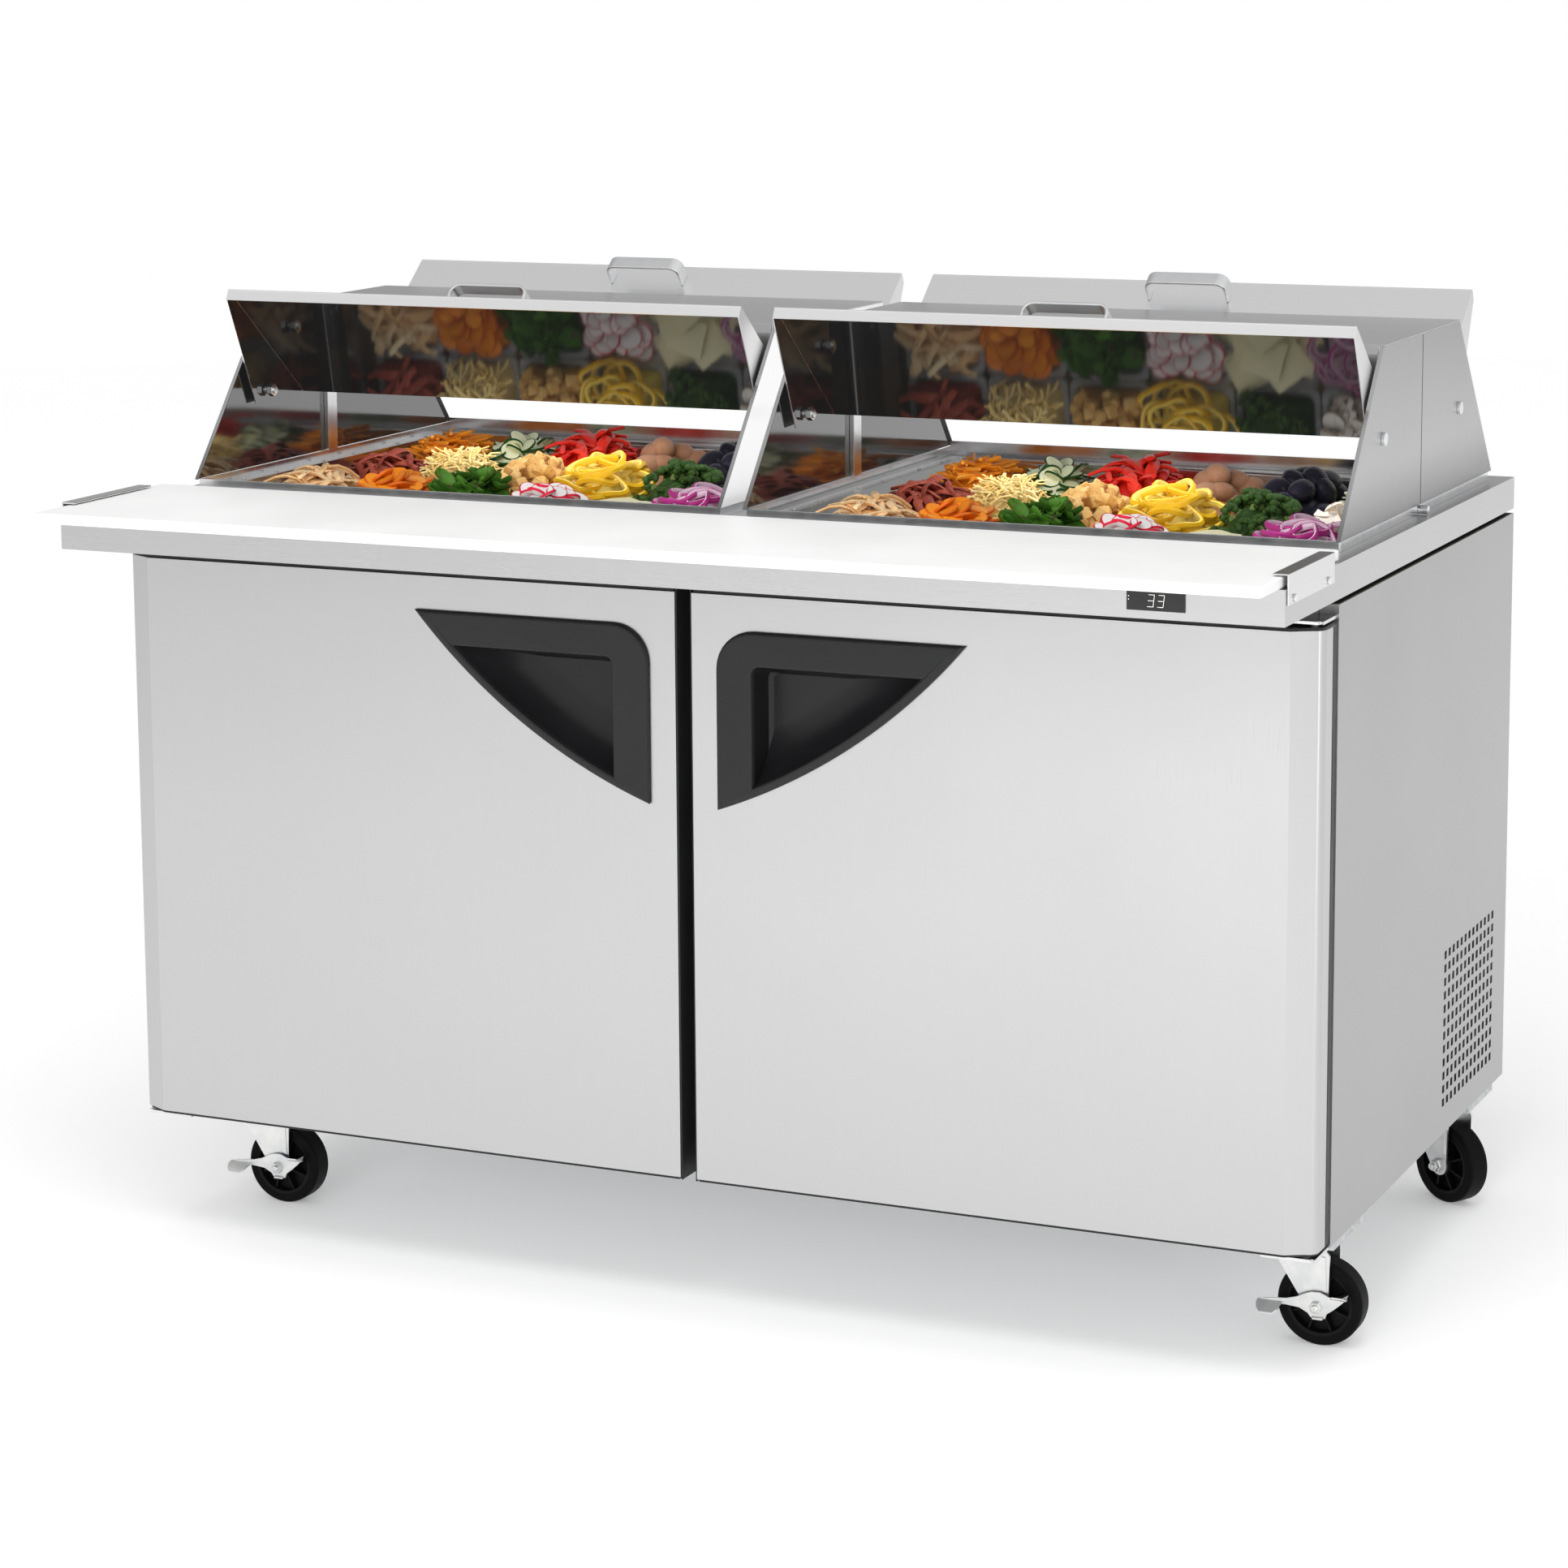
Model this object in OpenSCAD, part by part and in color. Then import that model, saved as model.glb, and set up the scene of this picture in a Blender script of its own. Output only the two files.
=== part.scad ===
// Two-door sandwich prep table with two raised pan hoods, each with a front and a rear lid.
// Millimetres. Z up from the floor, X along the width, Y towards the rear, origin under the middle.

/* [Cabinet] */
// Width of the cabinet
body_w = 1530; // [1530:1:1560]
// Depth of the cabinet from its front frame to the back panel
body_d = 774; // [774:1:780]
// Height of the side panels
panel_h = 732; // [732:1:740]
// Height of the cabinet floor above the ground
base_z = 153; // [153:1:156]
// Thickness of the foamed walls
wall = 58; // [55:1:60]

/* [Counter] */
// How far the counter reaches out in front of the cabinet
overhang = 201; // [195:1:205]
// Height of the counter's apron
apron_h = 40; // [40:1:42]
// Thickness of the cutting board
board_t = 12.7; // [12:0.1:14]
// Depth of the cutting board
board_d = 285; // [280:1:288]

/* [Hoods] */
// Height of a hood above the counter
hood_h = 217; // [215:1:220]
// Half depth of a hood at the counter
hood_foot = 343; // [341:1:345]
// Half depth of a hood at its flat cover
hood_top = 165; // [164:1:166]

/* [Doors] */
// Gap between the two doors
door_gap = 17.2; // [16:0.2:20]
// How far a door's face stands in front of the cabinet
door_t = 68; // [67:1:69]

/* [Casters] */
// Radius of a caster wheel
wheel_r = 50.8; // [50:0.1:51]
// Distance from the swivel axis to the axle
trail = 32; // [30:1:34]

/* [Hidden] */

$fn = 48;
sheet = 1.5;
gap = 0.5;
cut = 5;

// Main planes
half_w = body_w / 2;
y_back = 521;
y_front = y_back - body_d;
y_apron = y_front - overhang;
z_panel = base_z + panel_h;
z_counter = 931;
z_apron = z_counter - apron_h;
z_board = z_counter + board_t;
y_board_rear = y_apron - 67 + board_d;
y_board_front = y_board_rear - board_d;

// Cabinet interior
in_x = half_w - wall - 2;
in_y = y_back - wall - 2;
in_z0 = base_z + wall + 2;
in_z1 = z_panel - wall - 1;
bay_y = 212;
bay_z = 430;
bay_wall = 45;
mullion_w = 80;
mullion_d = 50;

// Hoods and pan wells
hood_y = 149;
hood_x0 = 14;
hood_x1 = 745;
hood_z0 = z_counter + 12;
hood_z1 = z_counter + hood_h;
well_x0 = 48;
well_x1 = 722;
well_d = 290;
ledge_z = 877;
pan_pitch_x = 108;
pan_pitch_y = 176;
pan_depth = 150;
pan_x0 = (well_x0 + well_x1) / 2 - 3 * pan_pitch_x;
z_pans = ledge_z + 2.3 - pan_depth;

// Lids, as depth and height from the hood's middle plane and the ground
lid_lip = [253, 1177];
lid_hinge_edge = [75, 1030];
lid_corner = [195, 1025];
lid_pivot = [167, 1040];
lid_lip_end = [259.5, 1164];
lid_x0 = 22;
lid_x1 = 737.5;
bolt_r = 5;
handle_x = (lid_x0 + lid_x1) / 2;

// Doors
door_x0 = door_gap / 2;
door_z0 = base_z + 4;
door_z1 = base_z + 714;
y_door = y_front - door_t;
y_door_rear = y_door + 58;
hinge_x = 748;
hinge_y = -290;
pin_r = 5;

// Casters: swivel place and heading of the trail
caster_x = 692;
caster_y = [-138, 463];
CASTERS = [
    [-caster_x, caster_y[0], 0], [caster_x, caster_y[0], 0],
    [-caster_x, caster_y[1], 180], [caster_x, caster_y[1], -30]
];
plate_z = base_z - 25;

// Points of an arc from angle a0 to a1
function arc(cx, cy, r, a0, a1, n) =
    [for (i = [0 : n]) [cx + r * cos(a0 + (a1 - a0) * i / n), cy + r * sin(a0 + (a1 - a0) * i / n)]];

// Rounded rectangle between two corners
module rrect(x0, y0, x1, y1, r) {
    polygon(concat(
        arc(x1 - r, y1 - r, r, 0, 90, 5), arc(x0 + r, y1 - r, r, 90, 180, 5),
        arc(x0 + r, y0 + r, r, 180, 270, 5), arc(x1 - r, y0 + r, r, 270, 360, 5)));
}

// Box between two corners
module box(a, b) {
    translate(a) cube(b - a);
}

// Extrudes a Y-Z outline along X from x0 to x1
module along_x(x0, x1) {
    translate([x0, 0, 0]) rotate([90, 0, 90]) linear_extrude(x1 - x0) children();
}

// Extrudes an X-Z outline along Y from y0 to y1
module along_y(y0, y1) {
    translate([0, y1, 0]) rotate([90, 0, 0]) linear_extrude(y1 - y0) children();
}

// Makes the right-hand piece, or its mirror image on the left
module hand(side) {
    if (side > 0) children();
    else mirror([1, 0, 0]) children();
}

// ---- Cabinet ----

module side_sheet() {
    box([half_w - sheet, y_front, base_z], [half_w, y_back, z_panel]);
    box([half_w - 22, y_front, base_z], [half_w - sheet, y_front + sheet, z_panel]);
}

// Left end of the cabinet
module side_panel_left() {
    color("gainsboro") hand(-1) side_sheet();
}

// Right end, pierced for the condensing unit's air
module side_panel_right() {
    vent_y = 222;
    vent_z = 188;
    pitch_y = 18.85;
    pitch_z = 16.9;
    hole = 10;
    color("gainsboro") difference() {
        side_sheet();
        for (i = [0 : 12], j = [0 : 11])
            translate([half_w - cut, vent_y + i * pitch_y, vent_z + j * pitch_z])
                cube([2 * cut, hole, hole]);
    }
}

// Rear cover with two louvred fields over the condensing unit
module back_panel() {
    color("silver") difference() {
        box([-half_w + sheet + gap, y_back - sheet, base_z],
            [half_w - sheet - gap, y_back, z_panel]);
        for (x = [-560, 320], j = [0 : 11])
            box([x, y_back - cut, 190 + j * 18], [x + 240, y_back + cut, 198 + j * 18]);
        along_y(y_back - cut, y_back + cut) translate([-650, 230]) circle(11);
    }
}

// Galvanised floor of the cabinet with two channels that carry the casters
module base_frame() {
    channel_w = 120;
    color("darkgray") {
        box([-half_w + 6, y_front + 6, base_z - sheet], [half_w - 6, y_back - 3, base_z]);
        for (y = caster_y)
            difference() {
                y0 = min(y - channel_w / 2, y_back - 4 - channel_w);
                box([-half_w + 12, y0, plate_z + 3], [half_w - 12, y0 + channel_w, base_z - sheet]);
                box([-half_w + 14, y0 + 3, plate_z + 6],
                    [half_w - 14, y0 + channel_w - 3, base_z - sheet + cut]);
            }
    }
}

// Room inside the cabinet: clear of the bay for the condensing unit, open below the wells
module interior(grow) {
    difference() {
        box([-in_x - grow, y_front - cut, in_z0 - grow], [in_x + grow, in_y + grow, in_z1 + grow]);
        box([-half_w, bay_y - bay_wall + grow, 0], [half_w, y_back, bay_z + bay_wall - grow]);
    }
}

module well_cut(grow, z0, z1) {
    for (s = [-1, 1])
        hand(s) box([well_x0 - grow, hood_y - well_d - grow, z0],
            [well_x1 + grow, hood_y + well_d + grow, z1]);
}

// Foamed-in-place walls, with the bay for the condensing unit cut out at the rear
module foam_core() {
    m = sheet + gap;
    color("khaki") difference() {
        box([-half_w + m, y_front + 4, base_z], [half_w - m, y_back - m, z_panel]);
        interior(2);
        box([-half_w, bay_y, base_z + 3], [half_w, y_back, bay_z]);
        well_cut(3, in_z1 - 2 * cut, z_panel + cut);
        for (s = [-1, 1])
            hand(s) box([half_w - 22 - gap, y_front, base_z], [half_w, y_front + 4.5, z_panel]);
    }
}

// Stainless lining of the interior
module cabinet_liner() {
    color("silver") difference() {
        intersection() {
            interior(1.7);
            box([-in_x - 3, y_front + 4.5, 0], [in_x + 3, y_back, z_panel]);
        }
        interior(0);
        well_cut(3, in_z1 - 2 * cut, z_panel + cut);
    }
}

// Front face around the two door openings, with the centre mullion
module front_frame() {
    edge = half_w - 23;
    color("gainsboro") {
        difference() {
            box([-edge, y_front, base_z], [edge, y_front + 3.5, z_panel]);
            for (s = [-1, 1])
                hand(s) box([mullion_w / 2, y_front - cut, in_z0], [in_x, y_front + cut, in_z1]);
        }
        box([-mullion_w / 2, y_front + 3.5, in_z0 + 1],
            [mullion_w / 2, y_front + mullion_d, in_z1 - 1]);
    }
}

// One wire shelf: a rod frame with wires across it
module wire_shelf() {
    x0 = 48;
    x1 = in_x - 16;
    y0 = y_front + mullion_d + 14;
    y1 = bay_y - bay_wall - 12;
    wires = 16;
    for (x = [x0, (x0 + x1) / 2, x1])
        translate([x, y0, 0]) rotate([-90, 0, 0]) cylinder(h = y1 - y0, r = 3);
    for (i = [0 : wires])
        translate([x0 - 3, y0 + 6 + i * (y1 - y0 - 12) / wires, 4.3])
            rotate([0, 90, 0]) cylinder(h = x1 - x0 + 6, r = 1.7, $fn = 16);
}

// Two coated wire shelves, one behind each door
module shelves() {
    color("lightgray") for (s = [-1, 1])
        hand(s) translate([0, 0, 520]) wire_shelf();
}

// Slotted standards on the walls and mullion, with the clips that the shelves rest on
module shelf_supports() {
    color("gray") for (s = [-1, 1], y = [y_front + mullion_d + 30, bay_y - bay_wall - 40])
        hand(s) {
            box([in_x - 6, y, in_z0 + 20], [in_x - 0.5, y + 16, z_pans - 12]);
            box([in_x - 30, y + 2, 514], [in_x - 6, y + 14, 516.8]);
            if (y < 0) {
                box([30, y - 29.5, 490], [mullion_w / 2 + 1, y + 14, 516.8]);
                box([mullion_w / 2 + 1, y, 514], [mullion_w / 2 + 30, y + 14, 516.8]);
            } else {
                box([8, bay_y - bay_wall + 4, bay_z + bay_wall + 0.5],
                    [14, bay_y - bay_wall + 20, in_z1 - 20]);
                box([8, y, 514], [70, bay_y - bay_wall + 4, 516.8]);
            }
        }
}

// ---- Refrigeration ----

evap_fan = [0, 334, 600];
cond_fan = [592, 360, 290];

// Evaporator case on the rear wall with a round fan opening
module evaporator_housing() {
    color("white") difference() {
        box([-230, 338, 500], [230, in_y - 1, 700]);
        box([-226, 345, 504], [226, in_y - 5, 696]);
        translate([evap_fan[0], 330, evap_fan[2]]) rotate([-90, 0, 0]) cylinder(h = 20, r = 82);
        for (i = [0 : 9])
            box([-225 + i * 46, 350, 498], [-190 + i * 46, 440, 506]);
    }
    color("black") translate([evap_fan[0], 361, evap_fan[2]]) rotate([-90, 0, 0])
        cylinder(h = in_y - 4 - 361, r = 20);
}

// Pitched fan blades on a hub whose axis is Z
module fan_blades(r, blades, depth) {
    cylinder(h = depth, r = 18);
    intersection() {
        cylinder(h = depth, r = r);
        for (i = [0 : blades - 1])
            rotate([0, 0, i * 360 / blades]) translate([10, -20, depth / 2])
                rotate([28, 0, 0]) translate([0, 0, -1]) cube([r, 46, 2]);
    }
}

// Evaporator fan
module evaporator_fan() {
    color("dimgray") translate([evap_fan[0], 346 + 14, evap_fan[2]])
        rotate([90, 0, 0]) fan_blades(74, 5, 24);
}

// Tray that slides into the bay, with the post for the fan motor
module unit_tray() {
    color("darkgray") {
        box([-700, bay_y + 8, base_z + 4], [742, y_back - 8, base_z + 6]);
        box([500, 345, base_z + 6], [512, 375, 257.5]);
    }
}

// Condenser: a finned block beside the vent field
module condenser_coil() {
    color("dimgray") for (i = [0 : 11])
        box([640 + i * 7, 235, 175], [642 + i * 7, 480, 405]);
    color("peru") for (j = [0 : 5], y = [290, 420])
        translate([632, y, 200 + j * 36]) rotate([0, 90, 0]) cylinder(h = 96, r = 5);
    color("darkgray") for (y = [230, 480])
        box([636, y, base_z + 6], [724, y + 3, 410]);
}

// Motor of the condenser fan, on the tray's post
module fan_motor() {
    color("black") {
        translate([500, cond_fan[1], cond_fan[2]]) rotate([0, 90, 0]) cylinder(h = 64, r = 30);
        translate([564, cond_fan[1], cond_fan[2]]) rotate([0, 90, 0]) cylinder(h = 40, r = 4);
        box([496, 347, 258], [514, 373, 280]);
    }
}

// Condenser fan
module condenser_fan() {
    color("whitesmoke") difference() {
        translate([cond_fan[0] - 18, cond_fan[1], cond_fan[2]])
            rotate([0, 90, 0]) fan_blades(108, 5, 30);
        translate([560, cond_fan[1], cond_fan[2]]) rotate([0, 90, 0]) cylinder(h = 60, r = 4.05);
    }
}

// Hermetic compressor
module compressor() {
    color("black") translate([-120, 365, base_z + 6]) {
        for (x = [-70, 70], y = [-55, 55])
            translate([x, y, 0]) cylinder(h = 16, r = 12);
        translate([0, 0, 14]) linear_extrude(4) rrect(-90, -75, 90, 75, 12);
        translate([0, 0, 18]) cylinder(h = 120, r = 74);
        translate([0, 0, 138]) intersection() {
            translate([0, 0, -60]) sphere(r = 95.3);
            cylinder(h = 60, r = 74);
        }
    }
}

// Gland for the power lead in the back panel
module cord_gland() {
    color("black") translate([-650, y_back - 6, 230]) rotate([90, 0, 180]) difference() {
        union() {
            cylinder(h = 6, r = 10.7);
            translate([0, 0, -3]) cylinder(h = 3, r = 14);
        }
        translate([0, 0, -cut]) cylinder(h = 20, r = 4.5);
    }
}

// ---- Counter ----

// Folded stainless top with the two well openings
module worktop() {
    color("whitesmoke") difference() {
        box([-half_w, y_apron, z_apron], [half_w, y_back, z_counter]);
        box([-half_w + sheet, y_apron + sheet, z_apron - cut],
            [half_w - sheet, y_back - sheet, z_counter - sheet]);
        well_cut(0, z_apron - cut, z_counter + cut);
    }
}

// Insulated board that fills the top, with the dark seal down to the cabinet
module top_insulation() {
    m = sheet + gap;
    color("dimgray") difference() {
        union() {
            box([-half_w + m, y_apron + m, z_apron + 2], [half_w - m, y_back - m, z_counter - m]);
            box([-half_w + 10, y_front + 12, z_panel + 0.2], [half_w - 10, y_back - 8, z_apron + 3]);
        }
        well_cut(3, z_panel - cut, z_counter + cut);
    }
}

// Lining of one pan well: walls, rim and the ledge for the pans, with air slots at the rear
module pan_well() {
    x0 = well_x0 + 0.4;
    x1 = well_x1 - 0.4;
    y0 = hood_y - well_d + 0.4;
    y1 = hood_y + well_d - 0.4;
    ledge_x = 19;
    ledge_y = 31;
    rim_x = 19;
    rim_y = 10;
    slot_l = 28;
    slot_r = 4.5;
    slots = 14;
    difference() {
        union() {
            difference() {
                box([x0, y0, in_z1 - 6], [x1, y1, z_counter + 0.5]);
                box([x0 + sheet, y0 + sheet, 0], [x1 - sheet, y1 - sheet, z_counter + cut]);
            }
            difference() {
                box([x0 - rim_x, y0 - rim_y, z_counter + 0.2],
                    [x1 + rim_x, y1 + rim_y, z_counter + sheet]);
                box([x0 + sheet, y0 + sheet, 0], [x1 - sheet, y1 - sheet, z_counter + cut]);
            }
            difference() {
                box([x0 + 1, y0 + 1, ledge_z - sheet], [x1 - 1, y1 - 1, ledge_z]);
                box([x0 + ledge_x, y0 + ledge_y, 0], [x1 - ledge_x, y1 - ledge_y, z_counter]);
            }
        }
        for (i = [0 : slots - 1])
            translate([x0 + 44 + i * 47, 0, 896]) along_y(y1 - cut, y1 + cut) {
                translate([-slot_l / 2 + slot_r, -slot_r]) square([slot_l - 2 * slot_r, 2 * slot_r]);
                for (s = [-1, 1])
                    translate([s * (slot_l / 2 - slot_r), 0]) circle(slot_r, $fn = 20);
            }
        for (i = [0 : 4])
            translate([x0 + 60 + i * 146, 0, 924]) along_y(y1 - cut, y1 + cut)
                circle(2.2, $fn = 16);
    }
}

// Linings of the two pan wells
module pan_wells() {
    color("silver") for (s = [-1, 1]) hand(s) pan_well();
}

// Adapter bars between the rows of pans
module divider_bars() {
    color("silver") for (s = [-1, 1], k = [-1, 1])
        hand(s) translate([0, hood_y + k * pan_pitch_y / 2, 0])
            box([well_x0 + 4, -6, ledge_z + 0.2], [well_x1 - 4, 6, ledge_z + 2]);
}

// One ninth-size pan: rim and rounded body
module pan() {
    w = pan_pitch_x - 2;
    d = pan_pitch_y - 2;
    rim = ledge_z + 2.3;
    difference() {
        union() {
            translate([1, 1, rim]) linear_extrude(2) rrect(0, 0, w, d, 10);
            translate([1, 1, rim - pan_depth]) linear_extrude(pan_depth + 1)
                rrect(6.5, 7.5, w - 6.5, d - 7.5, 16);
        }
        translate([1, 1, rim - pan_depth + 2]) linear_extrude(pan_depth + 10)
            rrect(8.5, 9.5, w - 8.5, d - 9.5, 14);
    }
}

// Three rows of six pans in each well
module food_pans() {
    color("lightcyan", 0.4) for (s = [-1, 1], i = [0 : 5], j = [0 : 2])
        hand(s) translate([pan_x0 + i * pan_pitch_x, hood_y + (j - 1.5) * pan_pitch_y, 0]) pan();
}

// White polyethylene board on the front of the counter
module cutting_board() {
    w = half_w - 5;
    color("white") translate([0, 0, z_counter + 0.3])
        linear_extrude(board_t - 0.3) rrect(-w, y_board_front, w, y_board_rear, 6);
}

// Bracket at each end of the board, curled over its top
module board_brackets() {
    y0 = -448;
    y1 = -278;
    reach = 16;
    color("silver") for (s = [-1, 1])
        hand(s) {
            box([half_w + 0.1, y0, 913], [half_w + 2.1, y1, z_board + 3.5]);
            box([half_w - reach, y0, z_board + 1.5], [half_w + 1, y1, z_board + 3.5]);
        }
}

// Temperature display in the apron
module control_display() {
    color("black") box([589.5, y_apron - 1.5, 900], [655.5, y_apron - 0.1, 928]);
}

// ---- Hoods ----

// Half depth of a hood at height z
function hood_half(z) = hood_foot - (hood_foot - hood_top) * (z - z_counter) / hood_h;

module slant(z0, z1, inset) {
    for (k = [-1, 1])
        polygon([
            [hood_y + k * hood_half(z0), z0], [hood_y + k * hood_half(z1), z1],
            [hood_y + k * (hood_half(z1) - inset), z1], [hood_y + k * (hood_half(z0) - inset), z0]]);
}

// End panel of a hood: front and rear halves with hemmed slanted edges; dir is +1 when it faces +X
module hood_end(x, dir) {
    z1 = hood_z1 - sheet - 0.2;
    a = dir > 0 ? x - sheet : x;
    hem = dir > 0 ? x - 5 : x;
    difference() {
        union() {
            along_x(a, a + sheet) polygon([
                [hood_y - hood_half(hood_z0), hood_z0], [hood_y + hood_half(hood_z0), hood_z0],
                [hood_y + hood_half(z1), z1], [hood_y - hood_half(z1), z1]]);
            along_x(hem, hem + 5) slant(hood_z0, z1, 2);
        }
        box([x - 10, hood_y - 0.25, 0], [x + 10, hood_y + 0.25, hood_z1 + cut]);
        for (k = [-1, 1])
            translate([x - 10, hood_y + k * lid_pivot[0], lid_pivot[1]])
                rotate([0, 90, 0]) cylinder(h = 20, r = bolt_r + 0.03);
    }
}

// End panels of the left hood
module hood_ends_left() {
    color("silver") {
        hood_end(-hood_x1, -1);
        hood_end(-hood_x0, 1);
    }
}

// End panels of the right hood
module hood_ends_right() {
    color("silver") {
        hood_end(hood_x0, -1);
        hood_end(hood_x1, 1);
    }
}

// Flat cover of each hood with a short drop at its front and rear
module hood_covers() {
    color("silver") for (s = [-1, 1])
        hand(s) {
            box([hood_x0 - 2, hood_y - hood_top, hood_z1 - sheet],
                [hood_x1 + 1, hood_y + hood_top, hood_z1]);
            for (k = [-1, 1])
                translate([0, hood_y + k * (hood_top - sheet / 2) - sheet / 2, 0])
                    box([lid_x0, 0, 1136], [lid_x1, sheet, hood_z1 - sheet]);
        }
}

// Rails round each hood opening and the bright posts behind its seams
module hood_frames() {
    z0 = z_counter + sheet + 0.1;
    color("silver") for (s = [-1, 1])
        hand(s) {
            for (k = [-1, 1])
                translate([0, hood_y + k * 326, 0])
                    box([hood_x0 + 3, -1, z_counter], [hood_x1 - 3, 1, k < 0 ? z0 + 11 : z0 + 17]);
            for (x = [hood_x0 + 3, hood_x1 - 4])
                box([x, hood_y - 324.8, z_counter], [x + 2, hood_y + 324.8, hood_z0 - 0.1]);
            for (x = [hood_x0 + sheet + 0.2, hood_x1 - sheet - 6.2])
                box([x, hood_y - 12, hood_z0], [x + 6, hood_y + 12, hood_z1 - sheet - 0.2]);
        }
}

// Bolts that the lids turn on, knobs of the hoods and small round-head screws
module screws() {
    color("silver") for (s = [-1, 1])
        hand(s) {
            for (k = [-1, 1], e = [[hood_x1, 1], [hood_x0, -1]])
                translate([e[0], hood_y + k * lid_pivot[0], lid_pivot[1]])
                    rotate([0, 90 * e[1], 0]) {
                        translate([0, 0, 0.1]) cylinder(h = 4, r = 8);
                        translate([0, 0, -22]) cylinder(h = 22.1, r = bolt_r);
                        translate([0, 0, -20]) cylinder(h = 7, r = 8.5, $fn = 6);
                    }
            for (y = [-427.5, -302])
                translate([half_w + 2.2, y, 919]) rotate([0, 90, 0]) cylinder(h = 2.4, r = 4.5);
            translate([hood_x1 - 1.9, hood_y, z_counter + 6]) rotate([0, 90, 0])
                cylinder(h = 12, r = 5);
            for (x = [well_x0 - 8, well_x1 + 8], y = [-240, -160, -40, 40, 160, 240])
                translate([x, hood_y + y, z_counter + sheet + 0.1]) cylinder(h = 1.6, r = 2.6, $fn = 20);
        }
}

// Cross-section ring of a lid in its own plane
module lid_outline() {
    polygon([lid_lip, lid_hinge_edge, lid_corner, lid_lip_end]);
}

// A strip of sheet from point a to point b, to the left of the line
module strip(a, b, t) {
    d = (b - a) / norm(b - a);
    n = [-d[1], d[0]] * t;
    polygon([a, b, b + n, a + n]);
}

// A lid over the range of X, with outlines given as depth from the hood's middle
module lid_body(x0, x1) {
    t = 1.5;
    difference() {
        union() {
            along_x(x0, x1) {
                strip(lid_hinge_edge, lid_lip, -t);
                strip(lid_lip, lid_lip_end, -t);
            }
            for (x = [x0, x1 - t]) along_x(x, x + t) lid_outline();
        }
        for (x = [x0, x1])
            translate([x - cut, lid_pivot[0], lid_pivot[1]]) rotate([0, 90, 0])
                cylinder(h = 2 * cut, r = bolt_r + 0.05);
    }
}

// Places a piece drawn in depth from the middle: front is side -1, rear is side 1
module in_hood(side) {
    translate([0, hood_y, 0]) if (side > 0) children(); else mirror([0, 1, 0]) children();
}

module lid(side, lr) {
    color("lightgray") in_hood(side)
        if (lr > 0) lid_body(lid_x0, lid_x1);
        else lid_body(-lid_x1, -lid_x0);
}

// Strap handle on a lid's outer face, close to the lip
module lid_handle(side, x) {
    half = 54;
    rise = 32;
    t = 4;
    r = 14;
    slope = atan2(lid_lip[1] - lid_hinge_edge[1], lid_lip[0] - lid_hinge_edge[0]);
    color("silver") in_hood(side)
        translate([x, lid_lip[0], lid_lip[1]]) rotate([slope, 0, 0])
            translate([0, -36, 0.1]) along_y(0, 20) difference() {
                polygon(concat([[half, 0]], arc(half - r, rise - r, r, 0, 90, 6),
                    arc(-half + r, rise - r, r, 90, 180, 6), [[-half, 0]]));
                polygon(concat([[half - t, -1]], arc(half - r, rise - r, r - t, 0, 90, 6),
                    arc(-half + r, rise - r, r - t, 90, 180, 6), [[-half + t, -1]]));
            }
}

module lid_front_left() { lid(-1, -1); }
module lid_front_right() { lid(-1, 1); }
module lid_rear_left() { lid(1, -1); }
module lid_rear_right() { lid(1, 1); }
module lid_handle_front_left() { lid_handle(-1, -handle_x); }
module lid_handle_front_right() { lid_handle(-1, handle_x); }
module lid_handle_rear_left() { lid_handle(1, -handle_x); }
module lid_handle_rear_right() { lid_handle(1, handle_x); }

// ---- Doors ----

// Plan outline of the right door, inset by t from its face, edge and corner
module door_plan(t) {
    x1 = half_w - t;
    y = y_door + t;
    polygon(concat(
        [[door_x0 + 2 + t, y_door_rear], [door_x0 + 2 + t, y], [731 - t * 0.3, y], [752, y + 11]],
        arc(x1 - 14, y + 25, 14, -60, 0, 6),
        [[x1, y_door_rear]]));
}

// Outline of the pull's opening: square corner up and inwards, long curve below
module pull_outline(inset) {
    x0 = 44 + inset;
    x1 = 350 - 3.4 * inset;
    z1 = 823 - inset;
    z0 = 613 + 2.2 * inset;
    r = 46 - inset;
    bow_r = 732 - inset;
    a = [x1, z1 - 4];
    b = [x0 + 8, z0];
    mid = (a + b) / 2;
    half = norm(a - b) / 2;
    dir = (a - b) / norm(a - b);
    c = mid + [-dir[1], dir[0]] * sqrt(bow_r * bow_r - half * half);
    a0 = atan2(a[1] - c[1], a[0] - c[0]);
    a1 = atan2(b[1] - c[1], b[0] - c[0]);
    polygon(concat(
        [[x1 - 4, z1]], arc(x0 + r, z1 - r, r, 90, 180, 8), [[x0, z0 + 4]], arc(c[0], c[1], bow_r, a1, a0, 16)));
}

// Inner edge of the pull's bezel
module pull_recess() {
    x0 = 90;
    z1 = 783;
    intersection() {
        pull_outline(6);
        rrect(x0, 600, 400, z1, 8);
    }
}

module pull_box(y0, y1, inset) {
    along_y(y0, y1) pull_outline(inset);
}

module door_skin() {
    color("gainsboro") difference() {
        translate([0, 0, door_z0 + 3]) linear_extrude(door_z1 - door_z0 - 6) door_plan(0);
        translate([0, 0, door_z0 - cut]) linear_extrude(door_z1 - door_z0 + 2 * cut)
            difference() {
                door_plan(sheet);
                square([1, 1]);
            }
        box([0, y_door_rear - 3, 0], [half_w - sheet, 0, z_panel]);
        pull_box(y_door - cut, y_door + 10, 4);
    }
}

module door_core() {
    color("whitesmoke") difference() {
        translate([0, 0, door_z0 + 3.2]) linear_extrude(door_z1 - door_z0 - 6.4)
            door_plan(sheet + 0.3);
        pull_box(y_door - cut, y_door + 43, 3);
    }
}

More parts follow.
